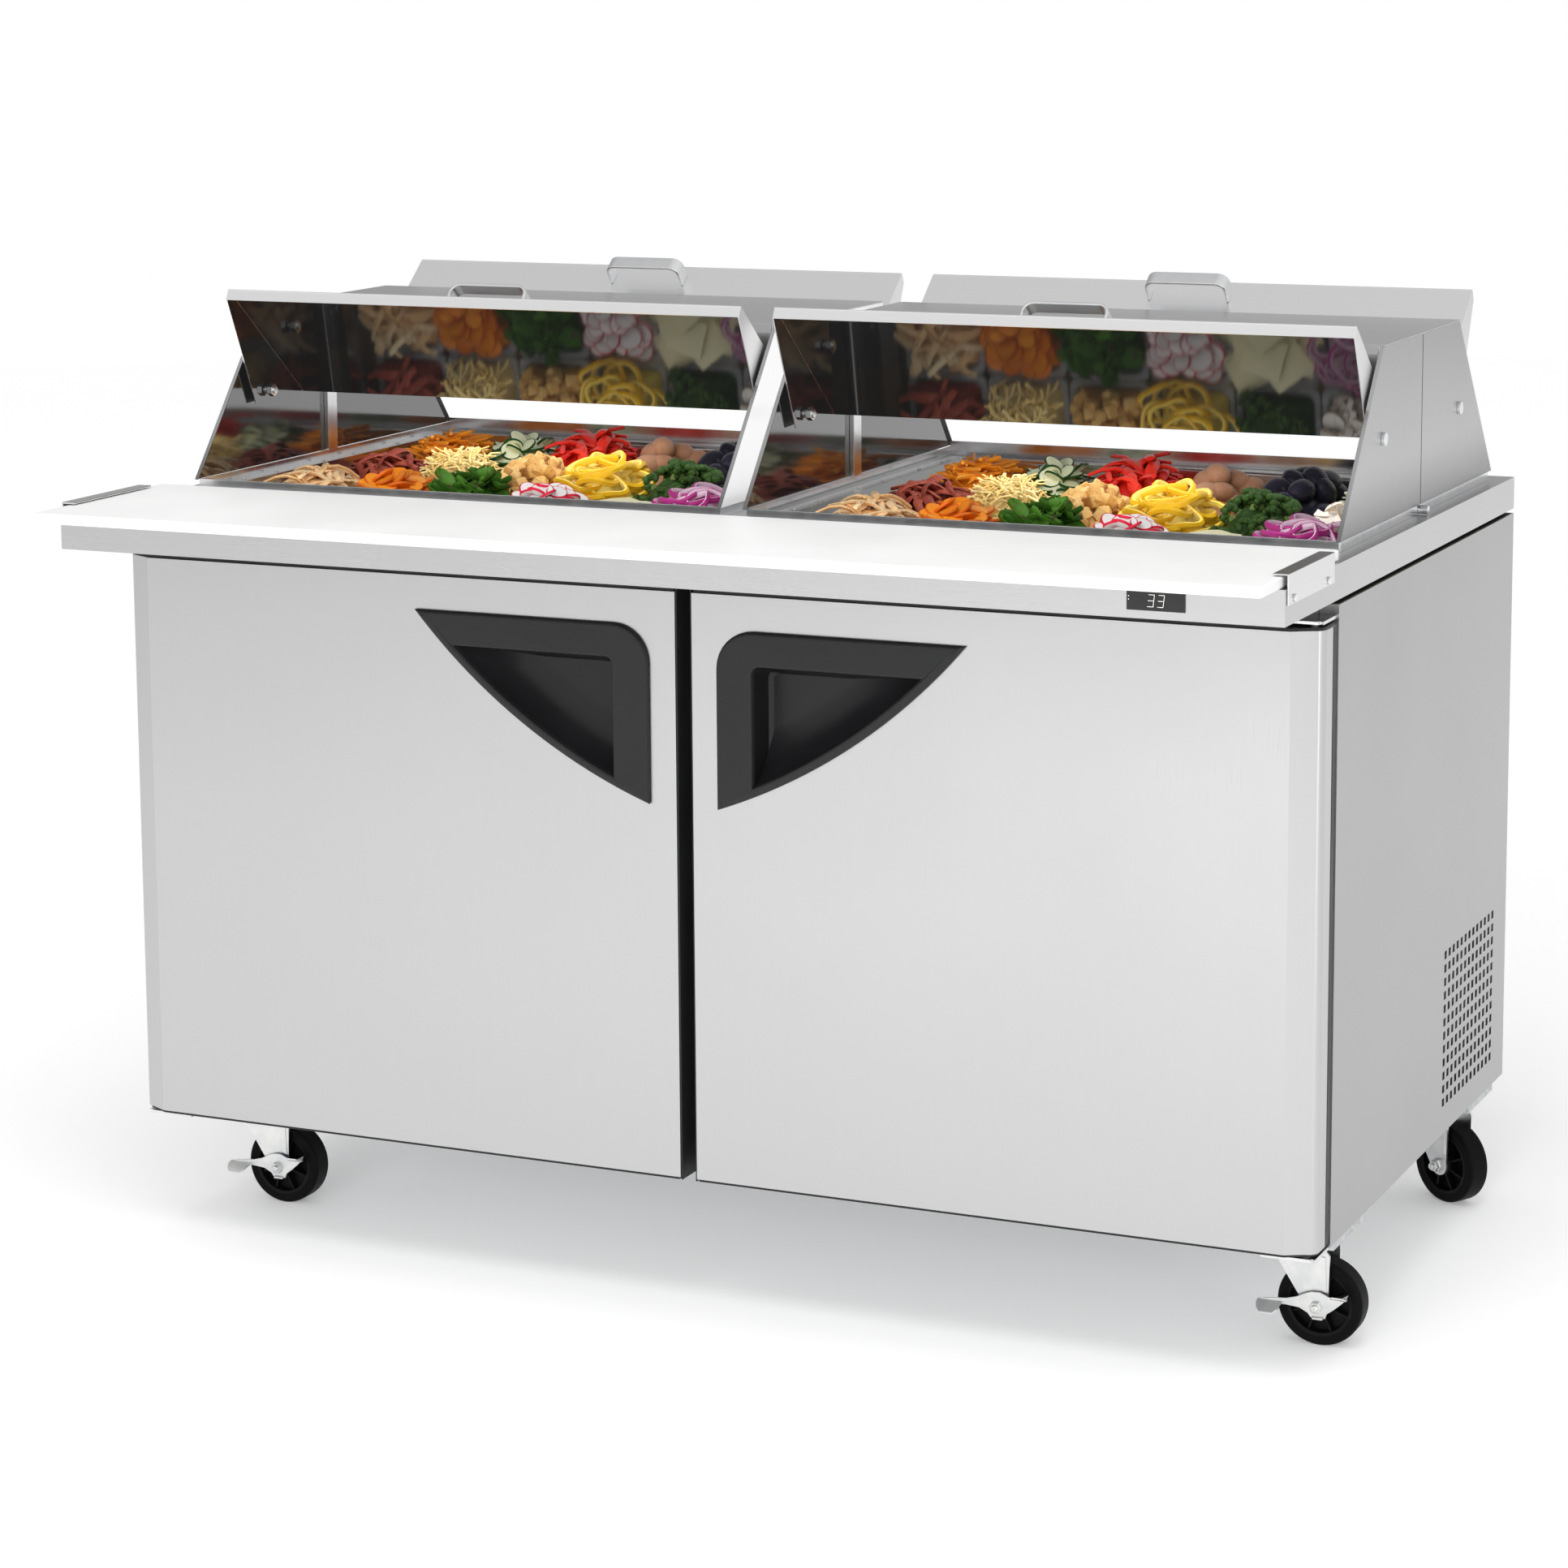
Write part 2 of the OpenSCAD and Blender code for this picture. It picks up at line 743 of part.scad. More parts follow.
module door_gasket() {
    inset = 20;
    x0 = door_x0 + 16;
    x1 = 741;
    color("dimgray") along_y(y_door_rear + 0.1, y_front - 0.4) difference() {
        rrect(x0, door_z0 + 8, x1, door_z1 - 8, 6);
        rrect(x0 + inset, door_z0 + 8 + inset, x1 - inset, door_z1 - 8 - inset, 4);
    }
}

// Recessed pull: bezel proud of the door and a cup behind it
module door_handle() {
    cup = 36;
    color([0.06, 0.06, 0.06]) difference() {
        union() {
            pull_box(y_door - 7, y_door - 0.1, 0);
            pull_box(y_door - 1, y_door + cup + 4, 4.5);
        }
        along_y(y_door - 10, y_door + 4) pull_recess();
        along_y(y_door + 3.9, y_door + cup) pull_outline(8);
    }
}

// Black moulded strips on the door's gap side, top and bottom
module door_trim() {
    color([0.08, 0.08, 0.08]) {
        box([door_x0, y_door + 1.5, door_z0], [door_x0 + 1.8, y_door_rear, door_z1]);
        for (z = [door_z0, door_z1 - 2.8])
            translate([0, 0, z]) linear_extrude(2.8) difference() {
                door_plan(2);
                translate([hinge_x, hinge_y]) circle(pin_r + 0.05);
            }
    }
}

module door_skin_left() { hand(-1) door_skin(); }
module door_skin_right() { hand(1) door_skin(); }
module door_core_left() { hand(-1) door_core_bored(); }
module door_core_right() { hand(1) door_core_bored(); }
module door_gasket_left() { hand(-1) door_gasket(); }
module door_gasket_right() { hand(1) door_gasket(); }
module door_handle_left() { hand(-1) door_handle(); }
module door_handle_right() { hand(1) door_handle(); }
module door_trim_left() { hand(-1) door_trim(); }
module door_trim_right() { hand(1) door_trim(); }

// The core with the hinge pins' sockets in its ends
module door_core_bored() {
    difference() {
        door_core();
        for (z = [door_z0, door_z1 - 22])
            translate([hinge_x, hinge_y, z]) cylinder(h = 22, r = pin_r + 0.05);
    }
}

// Top and bottom hinge brackets with their pins
module door_hinges() {
    color("silver") for (s = [-1, 1])
        hand(s) {
            for (z = [[door_z0 - 7, door_z0 - 3], [door_z1 + 3, door_z1 + 7]])
                difference() {
                    box([700, -306, z[0]], [half_w - 2, y_front - 0.2, z[1]]);
                    translate([half_w - 16, -320, z[0] - 1]) rotate([0, 0, -30]) cube([30, 20, 6]);
                }
            box([700, y_front - 3.2, door_z0 - 7], [half_w - 2, y_front - 0.2, base_z - 0.5]);
            translate([hinge_x, hinge_y, door_z0 - 3]) cylinder(h = 20, r = pin_r);
            translate([hinge_x, hinge_y, door_z1 + 3 - 20]) cylinder(h = 20, r = pin_r);
        }
}

// ---- Casters ----

// Mounting plates with their bolt holes and the upper ball races
module caster_plates() {
    color("silver") for (c = CASTERS)
        translate([c[0], c[1], 0]) {
            difference() {
                union() {
                    translate([0, 0, plate_z]) linear_extrude(3) rrect(-50, -40, 50, 40, 6);
                    translate([0, 0, plate_z - 4]) cylinder(h = 4.5, r = 28);
                }
                translate([0, 0, plate_z - 6]) cylinder(h = 20, r = 6.05);
                for (x = [-38, 38], y = [-28, 28])
                    translate([x, y, plate_z - 1]) cylinder(h = 5, r = 4.5);
            }
        }
}

module at_caster(i) {
    translate([CASTERS[i][0], CASTERS[i][1], 0]) rotate([0, 0, CASTERS[i][2]]) children();
}

// Fork with its kingpin and axle bolt
module caster_fork(i) {
    z = plate_z - 4.5;
    in_w = 20;
    t = 3;
    color("silver") at_caster(i) {
        translate([0, 0, z - 7]) cylinder(h = 7, r = 30);
        translate([0, 0, z]) cylinder(h = 6, r = 6);
        for (s = [-1, 1])
            difference() {
                along_y(s > 0 ? in_w : -in_w - t, s > 0 ? in_w + t : -in_w) polygon(concat(
                    [[-24, z - 5], [24, z - 5]], arc(trail, wheel_r, 13, 40, -140, 8)));
                translate([trail, -50, wheel_r]) rotate([-90, 0, 0]) cylinder(h = 100, r = 5.03);
            }
        translate([trail, -30, wheel_r]) rotate([-90, 0, 0]) {
            cylinder(h = 60, r = 5);
            translate([0, 0, 0.2]) cylinder(h = 6.5, r = 9, $fn = 6);
            translate([0, 0, 53.3]) cylinder(h = 6.5, r = 9, $fn = 6);
        }
    }
}

// Solid rubber wheel with a recessed hub
module caster_wheel(i) {
    r = wheel_r;
    color([0.08, 0.08, 0.08]) at_caster(i) translate([trail, 0, r]) rotate([-90, 0, 0])
        rotate_extrude($fn = 64) polygon(concat(
            [[5.06, -18.5], [14, -18.5], [14, -8], [34, -8], [38, -15]],
            arc(r - 5, -11, 5, -90, 0, 5), arc(r - 5, 11, 5, 0, 90, 5),
            [[38, 15], [34, 8], [14, 8], [14, 18.5], [5.06, 18.5]]));
}

// Two-lobed brake pedal across the outer leg of a front caster
module brake_pedal(i) {
    color("silver") at_caster(i) translate([0, -27, wheel_r]) difference() {
        union() {
            along_y(-2.5, 0) polygon([
                [-38, 4], [-30, 9], [-8, 8], [6, 12], [26, 14], [46, 10], [64, 14], [70, 8],
                [58, 2], [48, -8], [28, -10], [10, -6], [-6, -2], [-28, -4], [-38, -1]]);
            translate([-38, -20, -1]) cube([30, 20, 2.5]);
            translate([52, -14, 8]) cube([18, 14, 2.5]);
        }
        translate([trail, -20, 0]) rotate([-90, 0, 0]) cylinder(h = 40, r = 9.6);
    }
}

module caster_fork_1() { caster_fork(0); }
module caster_fork_2() { caster_fork(1); }
module caster_fork_3() { caster_fork(2); }
module caster_fork_4() { caster_fork(3); }
module caster_wheel_1() { caster_wheel(0); }
module caster_wheel_2() { caster_wheel(1); }
module caster_wheel_3() { caster_wheel(2); }
module caster_wheel_4() { caster_wheel(3); }
module brake_pedal_1() { brake_pedal(0); }
module brake_pedal_2() { brake_pedal(1); }

side_panel_left();
side_panel_right();
back_panel();
base_frame();
foam_core();
cabinet_liner();
front_frame();
shelves();
shelf_supports();
evaporator_housing();
evaporator_fan();
condenser_coil();
condenser_fan();
fan_motor();
compressor();
unit_tray();
cord_gland();
worktop();
top_insulation();
pan_wells();
divider_bars();
food_pans();
cutting_board();
board_brackets();
control_display();
hood_ends_left();
hood_ends_right();
hood_covers();
hood_frames();
screws();
door_hinges();
caster_plates();
lid_front_left();
lid_front_right();
lid_rear_left();
lid_rear_right();
lid_handle_front_left();
lid_handle_front_right();
lid_handle_rear_left();
lid_handle_rear_right();
door_skin_left();
door_skin_right();
door_core_left();
door_core_right();
door_gasket_left();
door_gasket_right();
door_handle_left();
door_handle_right();
door_trim_left();
door_trim_right();
caster_fork_1();
caster_fork_2();
caster_fork_3();
caster_fork_4();
caster_wheel_1();
caster_wheel_2();
caster_wheel_3();
caster_wheel_4();
brake_pedal_1();
brake_pedal_2();
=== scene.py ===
"""Two-door sandwich prep table: finishes, pieces built one by one and a plain studio."""

import logging
import math
import random
from dataclasses import dataclass
from enum import Enum
from typing import Callable, Iterable, Sequence

import bmesh
import bpy
from mathutils import Euler, Matrix, Vector, noise


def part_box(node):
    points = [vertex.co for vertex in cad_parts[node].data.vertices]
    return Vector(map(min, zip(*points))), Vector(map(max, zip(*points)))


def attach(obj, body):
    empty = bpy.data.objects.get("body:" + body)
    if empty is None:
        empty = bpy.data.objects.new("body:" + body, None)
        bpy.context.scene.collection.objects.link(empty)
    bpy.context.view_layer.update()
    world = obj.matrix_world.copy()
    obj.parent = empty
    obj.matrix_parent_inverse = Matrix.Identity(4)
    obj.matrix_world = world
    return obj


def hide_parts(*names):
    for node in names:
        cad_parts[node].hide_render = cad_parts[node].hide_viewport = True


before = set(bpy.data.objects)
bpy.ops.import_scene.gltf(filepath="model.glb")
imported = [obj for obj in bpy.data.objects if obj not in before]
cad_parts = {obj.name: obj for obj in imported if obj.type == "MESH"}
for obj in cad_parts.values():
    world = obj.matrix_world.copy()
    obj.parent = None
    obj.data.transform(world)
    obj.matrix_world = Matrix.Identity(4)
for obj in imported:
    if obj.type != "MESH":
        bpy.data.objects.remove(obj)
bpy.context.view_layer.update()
log = logging.getLogger("prep_table")

MM = 0.001
Colour = tuple[float, float, float]
Point = tuple[float, float, float]
Pair = tuple[float, float]
SIDES = ((-1, "left"), (1, "right"))


# ---- Shader expressions ----


class Wire:
    """An output of a shader tree; arithmetic on it adds Math nodes."""

    def __init__(self, shader: "Shader", socket: bpy.types.NodeSocket) -> None:
        """Keeps the socket and its shader.

        Args:
            shader: The shader whose tree holds the socket.
            socket: The output socket.
        """
        self.shader = shader
        self.socket = socket

    def math(self, operation: str, *values: "Wire | float") -> "Wire":
        """Adds a Math node.

        Args:
            operation: The node's operation.
            values: Its inputs in order.

        Returns:
            The node's value.
        """
        node = self.shader.node("ShaderNodeMath", {"operation": operation}, dict(enumerate(values)))
        return Wire(self.shader, node.outputs[0])

    def __add__(self, other: "Wire | float") -> "Wire":
        """Sum."""
        return self.math("ADD", self, other)

    __radd__ = __add__

    def __sub__(self, other: "Wire | float") -> "Wire":
        """Difference."""
        return self.math("SUBTRACT", self, other)

    def __rsub__(self, other: float) -> "Wire":
        """Difference from a number."""
        return self.math("SUBTRACT", other, self)

    def __mul__(self, other: "Wire | float") -> "Wire":
        """Product."""
        return self.math("MULTIPLY", self, other)

    __rmul__ = __mul__

    def between(self, low: float, high: float) -> "Wire":
        """Smooth step.

        Args:
            low: Where the result is 0.
            high: Where the result is 1.

        Returns:
            A mask from 0 to 1.
        """
        node = self.shader.node(
            "ShaderNodeMapRange",
            {"interpolation_type": "SMOOTHSTEP"},
            {0: self, 1: low, 2: high, 3: 0.0, 4: 1.0},
        )
        return Wire(self.shader, node.outputs[0])


class Shader:
    """The nodes of a material or a world."""

    def __init__(self, owner: bpy.types.Material | bpy.types.World) -> None:
        """Starts an empty tree.

        Args:
            owner: The new material or world.
        """
        self.owner = owner
        self.owner.use_nodes = True
        self.tree = self.owner.node_tree
        self.tree.nodes.clear()

    @classmethod
    def named(cls, name: str) -> "Shader":
        """A shader for a new material of that name."""
        return cls(bpy.data.materials.new(name))

    def node(self, kind: str, settings: dict | None = None, inputs: dict | None = None) -> bpy.types.Node:
        """Adds any node.

        Args:
            kind: The node's type.
            settings: Its properties, set first.
            inputs: Values or wires by the socket's name or number.

        Returns:
            The new node.
        """
        made = self.tree.nodes.new(kind)
        for key, value in (settings or {}).items():
            setattr(made, key, value)
        for key, value in (inputs or {}).items():
            target = made.inputs[key]
            if isinstance(value, Wire):
                self.tree.links.new(value.socket, target)
            elif target.type == "RGBA" and len(value) == 3:
                target.default_value = (*value, 1.0)
            else:
                target.default_value = value
        return made

    def place(self, stretch: Point = (1.0, 1.0, 1.0)) -> Wire:
        """Object space in metres, scaled on each axis.

        Args:
            stretch: Factor on each axis.

        Returns:
            The scaled place.
        """
        spot = self.node("ShaderNodeTexCoord").outputs["Object"]
        scaled = self.node("ShaderNodeVectorMath", {"operation": "MULTIPLY"}, {0: Wire(self, spot), 1: stretch})
        return Wire(self, scaled.outputs[0])

    def noise(self, scale: float, detail: float = 2.0, stretch: Point = (1.0, 1.0, 1.0)) -> Wire:
        """Cloudy noise around 0.5.

        Args:
            scale: Features per metre.
            detail: Octaves.
            stretch: Factor on each axis.

        Returns:
            The noise value.
        """
        made = self.node("ShaderNodeTexNoise", {}, {"Vector": self.place(stretch), "Scale": scale, "Detail": detail})
        return Wire(self, made.outputs[0])

    def cells(self, scale: float, output: str = "Distance") -> Wire:
        """A field of cells.

        Args:
            scale: Cells per metre.
            output: Distance from a cell's point, or the cell's own Color.

        Returns:
            The output.
        """
        made = self.node("ShaderNodeTexVoronoi", {"feature": "F1"}, {"Vector": self.place(), "Scale": scale})
        return Wire(self, made.outputs[output])

    def carried(self, name: str) -> Wire:
        """A number that the mesh carries on its points."""
        return Wire(self, self.node("ShaderNodeAttribute", {"attribute_name": name}).outputs["Fac"])

    def mix(self, a: Wire | Colour, b: Wire | Colour, mask: Wire | float) -> Wire:
        """Blends two colours.

        Args:
            a: Colour where the mask is 0.
            b: Colour where the mask is 1.
            mask: The mask.

        Returns:
            The blended colour.
        """
        made = self.node("ShaderNodeMix", {"data_type": "RGBA"}, {0: mask, 6: a, 7: b})
        return Wire(self, made.outputs[2])

    def bump(self, height: Wire, strength: float, depth: float) -> Wire:
        """Turns a height into a normal.

        Args:
            height: The height field.
            strength: How strongly it shows.
            depth: Relief in metres.

        Returns:
            The bumped normal.
        """
        made = self.node("ShaderNodeBump", {}, {"Height": height, "Strength": strength, "Distance": depth})
        return Wire(self, made.outputs[0])

    def surface(self, **inputs: Wire | float | Colour) -> bpy.types.Material:
        """Ends the tree in a Principled surface.

        Args:
            inputs: Socket names with _ for spaces, and their values or wires.

        Returns:
            The finished material.
        """
        named = {key.replace("_", " "): value for key, value in inputs.items()}
        shader = self.node("ShaderNodeBsdfPrincipled", {}, named)
        self.node("ShaderNodeOutputMaterial", {}, {0: Wire(self, shader.outputs[0])})
        return self.owner


# ---- Finishes ----


class Grain(Enum):
    """Direction of a steel's brushing, as the noise stretch on each axis."""

    ALONG_X = (6.0, 900.0, 900.0)
    ALONG_Y = (900.0, 6.0, 900.0)
    ALONG_Z = (900.0, 900.0, 6.0)


class Finish:
    """A finish that makes its material once."""

    name: str
    _made: dict[str, bpy.types.Material] = {}

    def build(self) -> bpy.types.Material:
        """Makes the material; every finish has its own."""
        raise NotImplementedError

    def material(self) -> bpy.types.Material:
        """Makes the material at the first call only.

        Returns:
            The material.
        """
        if self.name not in Finish._made:
            Finish._made[self.name] = self.build()
        return Finish._made[self.name]


@dataclass(frozen=True)
class Steel(Finish):
    """Brushed or polished sheet; shade is painted shade, two heights in metres and the tone below them; glow is a
    painted glow.
    """

    name: str
    tint: Colour
    roughness: float
    grain: Grain = Grain.ALONG_X
    line: float = 0.05
    smudge: float = 0.05
    # Painted glow: emission that makes the sheet give off light though it is no lamp.
    glow: float = 0.0
    # Painted shade: the tone darkens below these heights.
    shade: tuple[float, float, float] | None = None

    def build(self) -> bpy.types.Material:
        """Grain lines change colour, roughness and relief; smudges change roughness; shade paints a darker tone below
        a height and glow paints light.

        Returns:
            The material.
        """
        s = Shader.named(self.name)
        lines = s.noise(1.0, 3.0, self.grain.value)
        cloud = s.noise(3.5, 3.0)
        dark = tuple(c * (1.0 - self.line) for c in self.tint)
        light = tuple(min(1.0, c * (1.0 + self.line)) for c in self.tint)
        tone = s.mix(dark, light, lines * 0.7 + cloud * 0.3)
        # Painted shade: below the shade heights the tone darkens to the given depth, with a slight wobble from the
        # cloud.
        if self.shade:
            low, high, depth = self.shade
            height = Wire(s, s.node("ShaderNodeSeparateXYZ", {}, {0: s.place()}).outputs[2])
            tone = s.mix(tuple(c * depth for c in self.tint), tone, (height + cloud * 0.03).between(low, high))
        return s.surface(
            Base_Color=tone,
            # Painted glow: the emission lights the sheet up by glow times its tint.
            Emission_Color=self.tint,
            Emission_Strength=self.glow,
            Metallic=1.0,
            Roughness=(lines - 0.5) * self.smudge + (cloud - 0.5) * self.smudge * 2.0 + self.roughness,
            Normal=s.bump(lines, 0.06, 0.0002),
        )


@dataclass(frozen=True)
class Plated(Finish):
    """Zinc or chrome plate with a mottled tone and small scratches."""

    name: str
    tint: Colour
    roughness: float
    mottle: float

    def build(self) -> bpy.types.Material:
        """Patches vary the tone; scratches vary the roughness.

        Returns:
            The material.
        """
        s = Shader.named(self.name)
        patches = s.noise(45.0, 4.0)
        scratches = s.noise(1.0, 2.0, (60.0, 900.0, 400.0))
        cool = tuple(c * (1.0 - self.mottle) * k for c, k in zip(self.tint, (0.98, 1.0, 1.03)))
        return s.surface(
            Base_Color=s.mix(cool, self.tint, patches.between(0.3, 0.7)),
            Metallic=1.0,
            Roughness=patches * 0.16 + scratches * 0.1 + (self.roughness - 0.13),
            Normal=s.bump(patches + scratches * 0.4, 0.12, 0.0004),
        )


@dataclass(frozen=True)
class Galvanised(Finish):
    """Sheet with zinc spangles."""

    name: str

    def build(self) -> bpy.types.Material:
        """Each crystal has its own tone.

        Returns:
            The material.
        """
        s = Shader.named(self.name)
        tone = Wire(s, s.node("ShaderNodeSeparateColor", {}, {0: s.cells(90.0, "Color")}).outputs[0])
        return s.surface(
            Base_Color=s.mix((0.42, 0.44, 0.45), (0.62, 0.64, 0.65), tone),
            Metallic=0.9,
            Roughness=tone * 0.2 + 0.34,
        )


@dataclass(frozen=True)
class Moulded(Finish):
    """Plastic, rubber or paint with a pebbled or orange-peel skin."""

    name: str
    colour: Colour
    roughness: float
    pebble: float = 700.0
    relief: float = 0.15
    depth: float = 0.0003
    wear: float = 0.06
    coat: float = 0.0
    gloss: float = 0.3

    def build(self) -> bpy.types.Material:
        """Pebbles make the relief; a slow cloud varies tone and gloss.

        Returns:
            The material.
        """
        s = Shader.named(self.name)
        skin = s.cells(self.pebble)
        cloud = s.noise(9.0, 4.0)
        pale = tuple(min(1.0, c * (1.0 + self.wear) + self.wear * 0.02) for c in self.colour)
        deep = tuple(c * (1.0 - self.wear) for c in self.colour)
        return s.surface(
            Base_Color=s.mix(deep, pale, cloud.between(0.25, 0.75)),
            Roughness=(cloud - 0.5) * 0.18 + skin * 0.06 + self.roughness,
            Coat_Weight=self.coat,
            Specular_IOR_Level=self.gloss,
            Normal=s.bump(skin, self.relief, self.depth),
        )


@dataclass(frozen=True)
class ClearPlastic(Finish):
    """Clear polycarbonate with faint scuffs."""

    name: str
    colour: Colour
    alpha: float

    def build(self) -> bpy.types.Material:
        """Scuffs raise both the opacity and the roughness.

        Returns:
            The material.
        """
        s = Shader.named(self.name)
        scuff = s.noise(60.0, 5.0).between(0.45, 0.8)
        return s.surface(
            Base_Color=s.mix(self.colour, (0.95, 0.96, 0.97), scuff),
            Roughness=scuff * 0.2 + 0.08,
            Alpha=scuff * 0.1 + self.alpha,
        )


@dataclass(frozen=True)
class Foam(Finish):
    """Rigid foam with open cells."""

    name: str
    colour: Colour

    def build(self) -> bpy.types.Material:
        """Cells make both tone and relief.

        Returns:
            The material.
        """
        s = Shader.named(self.name)
        cell = s.cells(320.0)
        dark = tuple(c * 0.8 for c in self.colour)
        return s.surface(
            Base_Color=s.mix(dark, self.colour, cell + s.noise(12.0) * 0.5),
            Roughness=cell * 0.1 + 0.82,
            Normal=s.bump(cell, 0.5, 0.001),
        )


@dataclass(frozen=True)
class Lit(Finish):
    """Lit marks of the display, slightly uneven."""

    name: str
    colour: Colour
    power: float

    def build(self) -> bpy.types.Material:
        """A faint cloud varies the light.

        Returns:
            The material.
        """
        s = Shader.named(self.name)
        dim = tuple(c * 0.7 for c in self.colour)
        return s.surface(
            Base_Color=self.colour,
            Roughness=s.noise(300.0) * 0.1 + 0.3,
            Emission_Color=s.mix(dim, self.colour, s.noise(400.0)),
            Emission_Strength=self.power,
        )


@dataclass(frozen=True)
class Food(Finish):
    """Cut or whole food: flesh, a second tone, a skin where zone is 1, and flecks."""

    name: str
    flesh: Colour
    second: Colour
    skin: Colour
    fleck: Colour = (0.0, 0.0, 0.0)
    flecks: float = 0.0
    scale: float = 120.0
    roughness: float = 0.42
    relief: float = 0.5

    def build(self) -> bpy.types.Material:
        """Tone follows noise and each item's own tint; skin follows the zone.

        Returns:
            The material.
        """
        s = Shader.named(self.name)
        tint = s.carried("tint")
        grain = s.noise(self.scale, 4.0)
        patch = s.noise(self.scale * 0.25, 2.0).between(0.3, 0.7)
        body = s.mix(self.flesh, self.second, patch * 0.5 + tint * 0.6)
        body = s.mix(body, self.fleck, s.noise(self.scale * 2.5, 2.0).between(0.62, 0.68) * self.flecks)
        whole = s.mix(body, self.skin, s.carried("zone").between(0.35, 0.65))
        shade = s.mix((0.76, 0.76, 0.76), (1.0, 1.0, 1.0), tint * 0.6 + grain * 0.5)
        toned = s.node("ShaderNodeMix", {"data_type": "RGBA", "blend_type": "MULTIPLY"}, {0: 1.0, 6: whole, 7: shade})
        return s.surface(
            Base_Color=Wire(s, toned.outputs[2]),
            Roughness=(grain - 0.5) * 0.3 + self.roughness,
            Specular_IOR_Level=0.32,
            Normal=s.bump(grain, self.relief, 0.0012),
        )


# The sheet steels are one stainless; their tints are set part by part to how lit each part looks, so they are lit and
# shaded copies of one material: painted light on the lids, painted shade on the panels, the doors, counter and covers
# in between.
DOOR_STEEL = Steel("steel_door", (0.525, 0.525, 0.525), 0.3, Grain.ALONG_Z, 0.03)
# Painted shade: the panels' tint is darkened.
PANEL_STEEL_PAINTED_SHADE = Steel("steel_panel_painted_shade", (0.39, 0.39, 0.39), 0.3, Grain.ALONG_Z, 0.03)
TOP_STEEL = Steel("steel_counter", (0.54, 0.54, 0.54), 0.28, Grain.ALONG_X, 0.03)
COVER_STEEL = Steel("steel_hood_cover", (0.62, 0.62, 0.62), 0.29, Grain.ALONG_X, 0.03)
# Painted light: the lids' tint is brightened.
LID_STEEL_PAINTED_LIGHT = Steel("steel_lid_painted_light", (0.88, 0.88, 0.88), 0.3, Grain.ALONG_X, 0.03)
# Painted shade and painted glow: the polished inner faces get a darkened tint and a faint glow.
MIRROR_STEEL_PAINTED_SHADE_AND_GLOW = Steel("steel_mirror_painted_shade_and_glow", (0.185, 0.185, 0.185), 0.06, Grain.ALONG_X, 0.02, 0.02, 0.045)
# Painted shade: the hood ends darken towards the bottom, from 1.035 m down to 0.94 m, to 0.38 of their tone.
END_STEEL_PAINTED_SHADE = Steel("steel_hood_end_painted_shade", (0.48, 0.48, 0.48), 0.27, Grain.ALONG_Z, 0.03, 0.05, 0.0, (0.94, 1.035, 0.38))
# Painted glow: the faces in the gap between the hoods glow at strength 0.8.
GAP_STEEL_PAINTED_GLOW = Steel("steel_hood_gap_painted_glow", (0.55, 0.55, 0.55), 0.3, Grain.ALONG_Z, 0.03, 0.05, 0.8)
LINER_STEEL = Steel("steel_liner", (0.7, 0.7, 0.69), 0.24, Grain.ALONG_X, 0.05)
BRACKET_STEEL = Steel("steel_bracket", (0.72, 0.72, 0.72), 0.24, Grain.ALONG_Y, 0.04)
BAR_STEEL = Steel("steel_bars", (0.66, 0.66, 0.65), 0.26, Grain.ALONG_X, 0.06)
CHROME = Plated("chrome_plate", (0.82, 0.82, 0.82), 0.2, 0.06)
ZINC = Plated("zinc_plate", (0.8, 0.8, 0.78), 0.33, 0.14)
GALVANISED = Galvanised("galvanised_sheet")
PULL_BLACK = Moulded("plastic_pull_grained", (0.013, 0.0134, 0.014), 0.42, 620.0, 0.6, 0.0006)
CUP_BLACK = Moulded("plastic_pull_cup", (0.009, 0.009, 0.01), 0.3, 900.0, 0.08)
TRIM_BLACK = Moulded("plastic_trim", (0.014, 0.014, 0.015), 0.4)
TYRE_BLACK = Moulded("rubber_tread", (0.003, 0.003, 0.003), 0.46, 1500.0, 0.2, wear=0.04, gloss=0.07)
HUB_BLACK = Moulded("nylon_hub", (0.004, 0.004, 0.004), 0.38, 1200.0, 0.12, wear=0.04, gloss=0.12)
GASKET_GREY = Moulded("gasket_rubber", (0.05, 0.05, 0.052), 0.55, 900.0, 0.15)
BOARD_WHITE = Moulded("board_polyethylene", (0.83, 0.83, 0.825), 0.42, 1400.0, 0.12, 0.0002, 0.012, gloss=0.4)
LINER_WHITE = Moulded("door_liner_plastic", (0.72, 0.73, 0.74), 0.3, 500.0, 0.05, 0.0002, 0.03, 0.2)
WHITE_PLASTIC = Moulded("white_case_plastic", (0.75, 0.75, 0.73), 0.4, 600.0, 0.1)
MOTOR_BLACK = Moulded("motor_paint", (0.02, 0.02, 0.022), 0.35, 260.0, 0.25, 0.0006)
WIRE_COAT = Moulded("shelf_epoxy", (0.55, 0.56, 0.57), 0.38, 400.0, 0.2)
DISPLAY_GLASS = Moulded("display_window", (0.006, 0.006, 0.007), 0.12, 300.0, 0.02, 0.0001, 0.02, 0.6)
SEAL_BLACK = Moulded("counter_seal", (0.02, 0.02, 0.02), 0.6, 300.0, 0.3)
PAN_CLEAR = ClearPlastic("pan_polycarbonate", (0.78, 0.82, 0.84), 0.2)
CREAM_FOAM = Foam("wall_foam", (0.72, 0.64, 0.42))
DIGITS = Lit("display_digits", (0.9, 0.9, 0.84), 0.7)
FINS = Steel("coil_fins", (0.55, 0.56, 0.58), 0.4, Grain.ALONG_Z, 0.15)


# ---- Mesh making ----


class Axis(Enum):
    """Axis that an outline is carried along."""

    X = 0
    Y = 1
    Z = 2


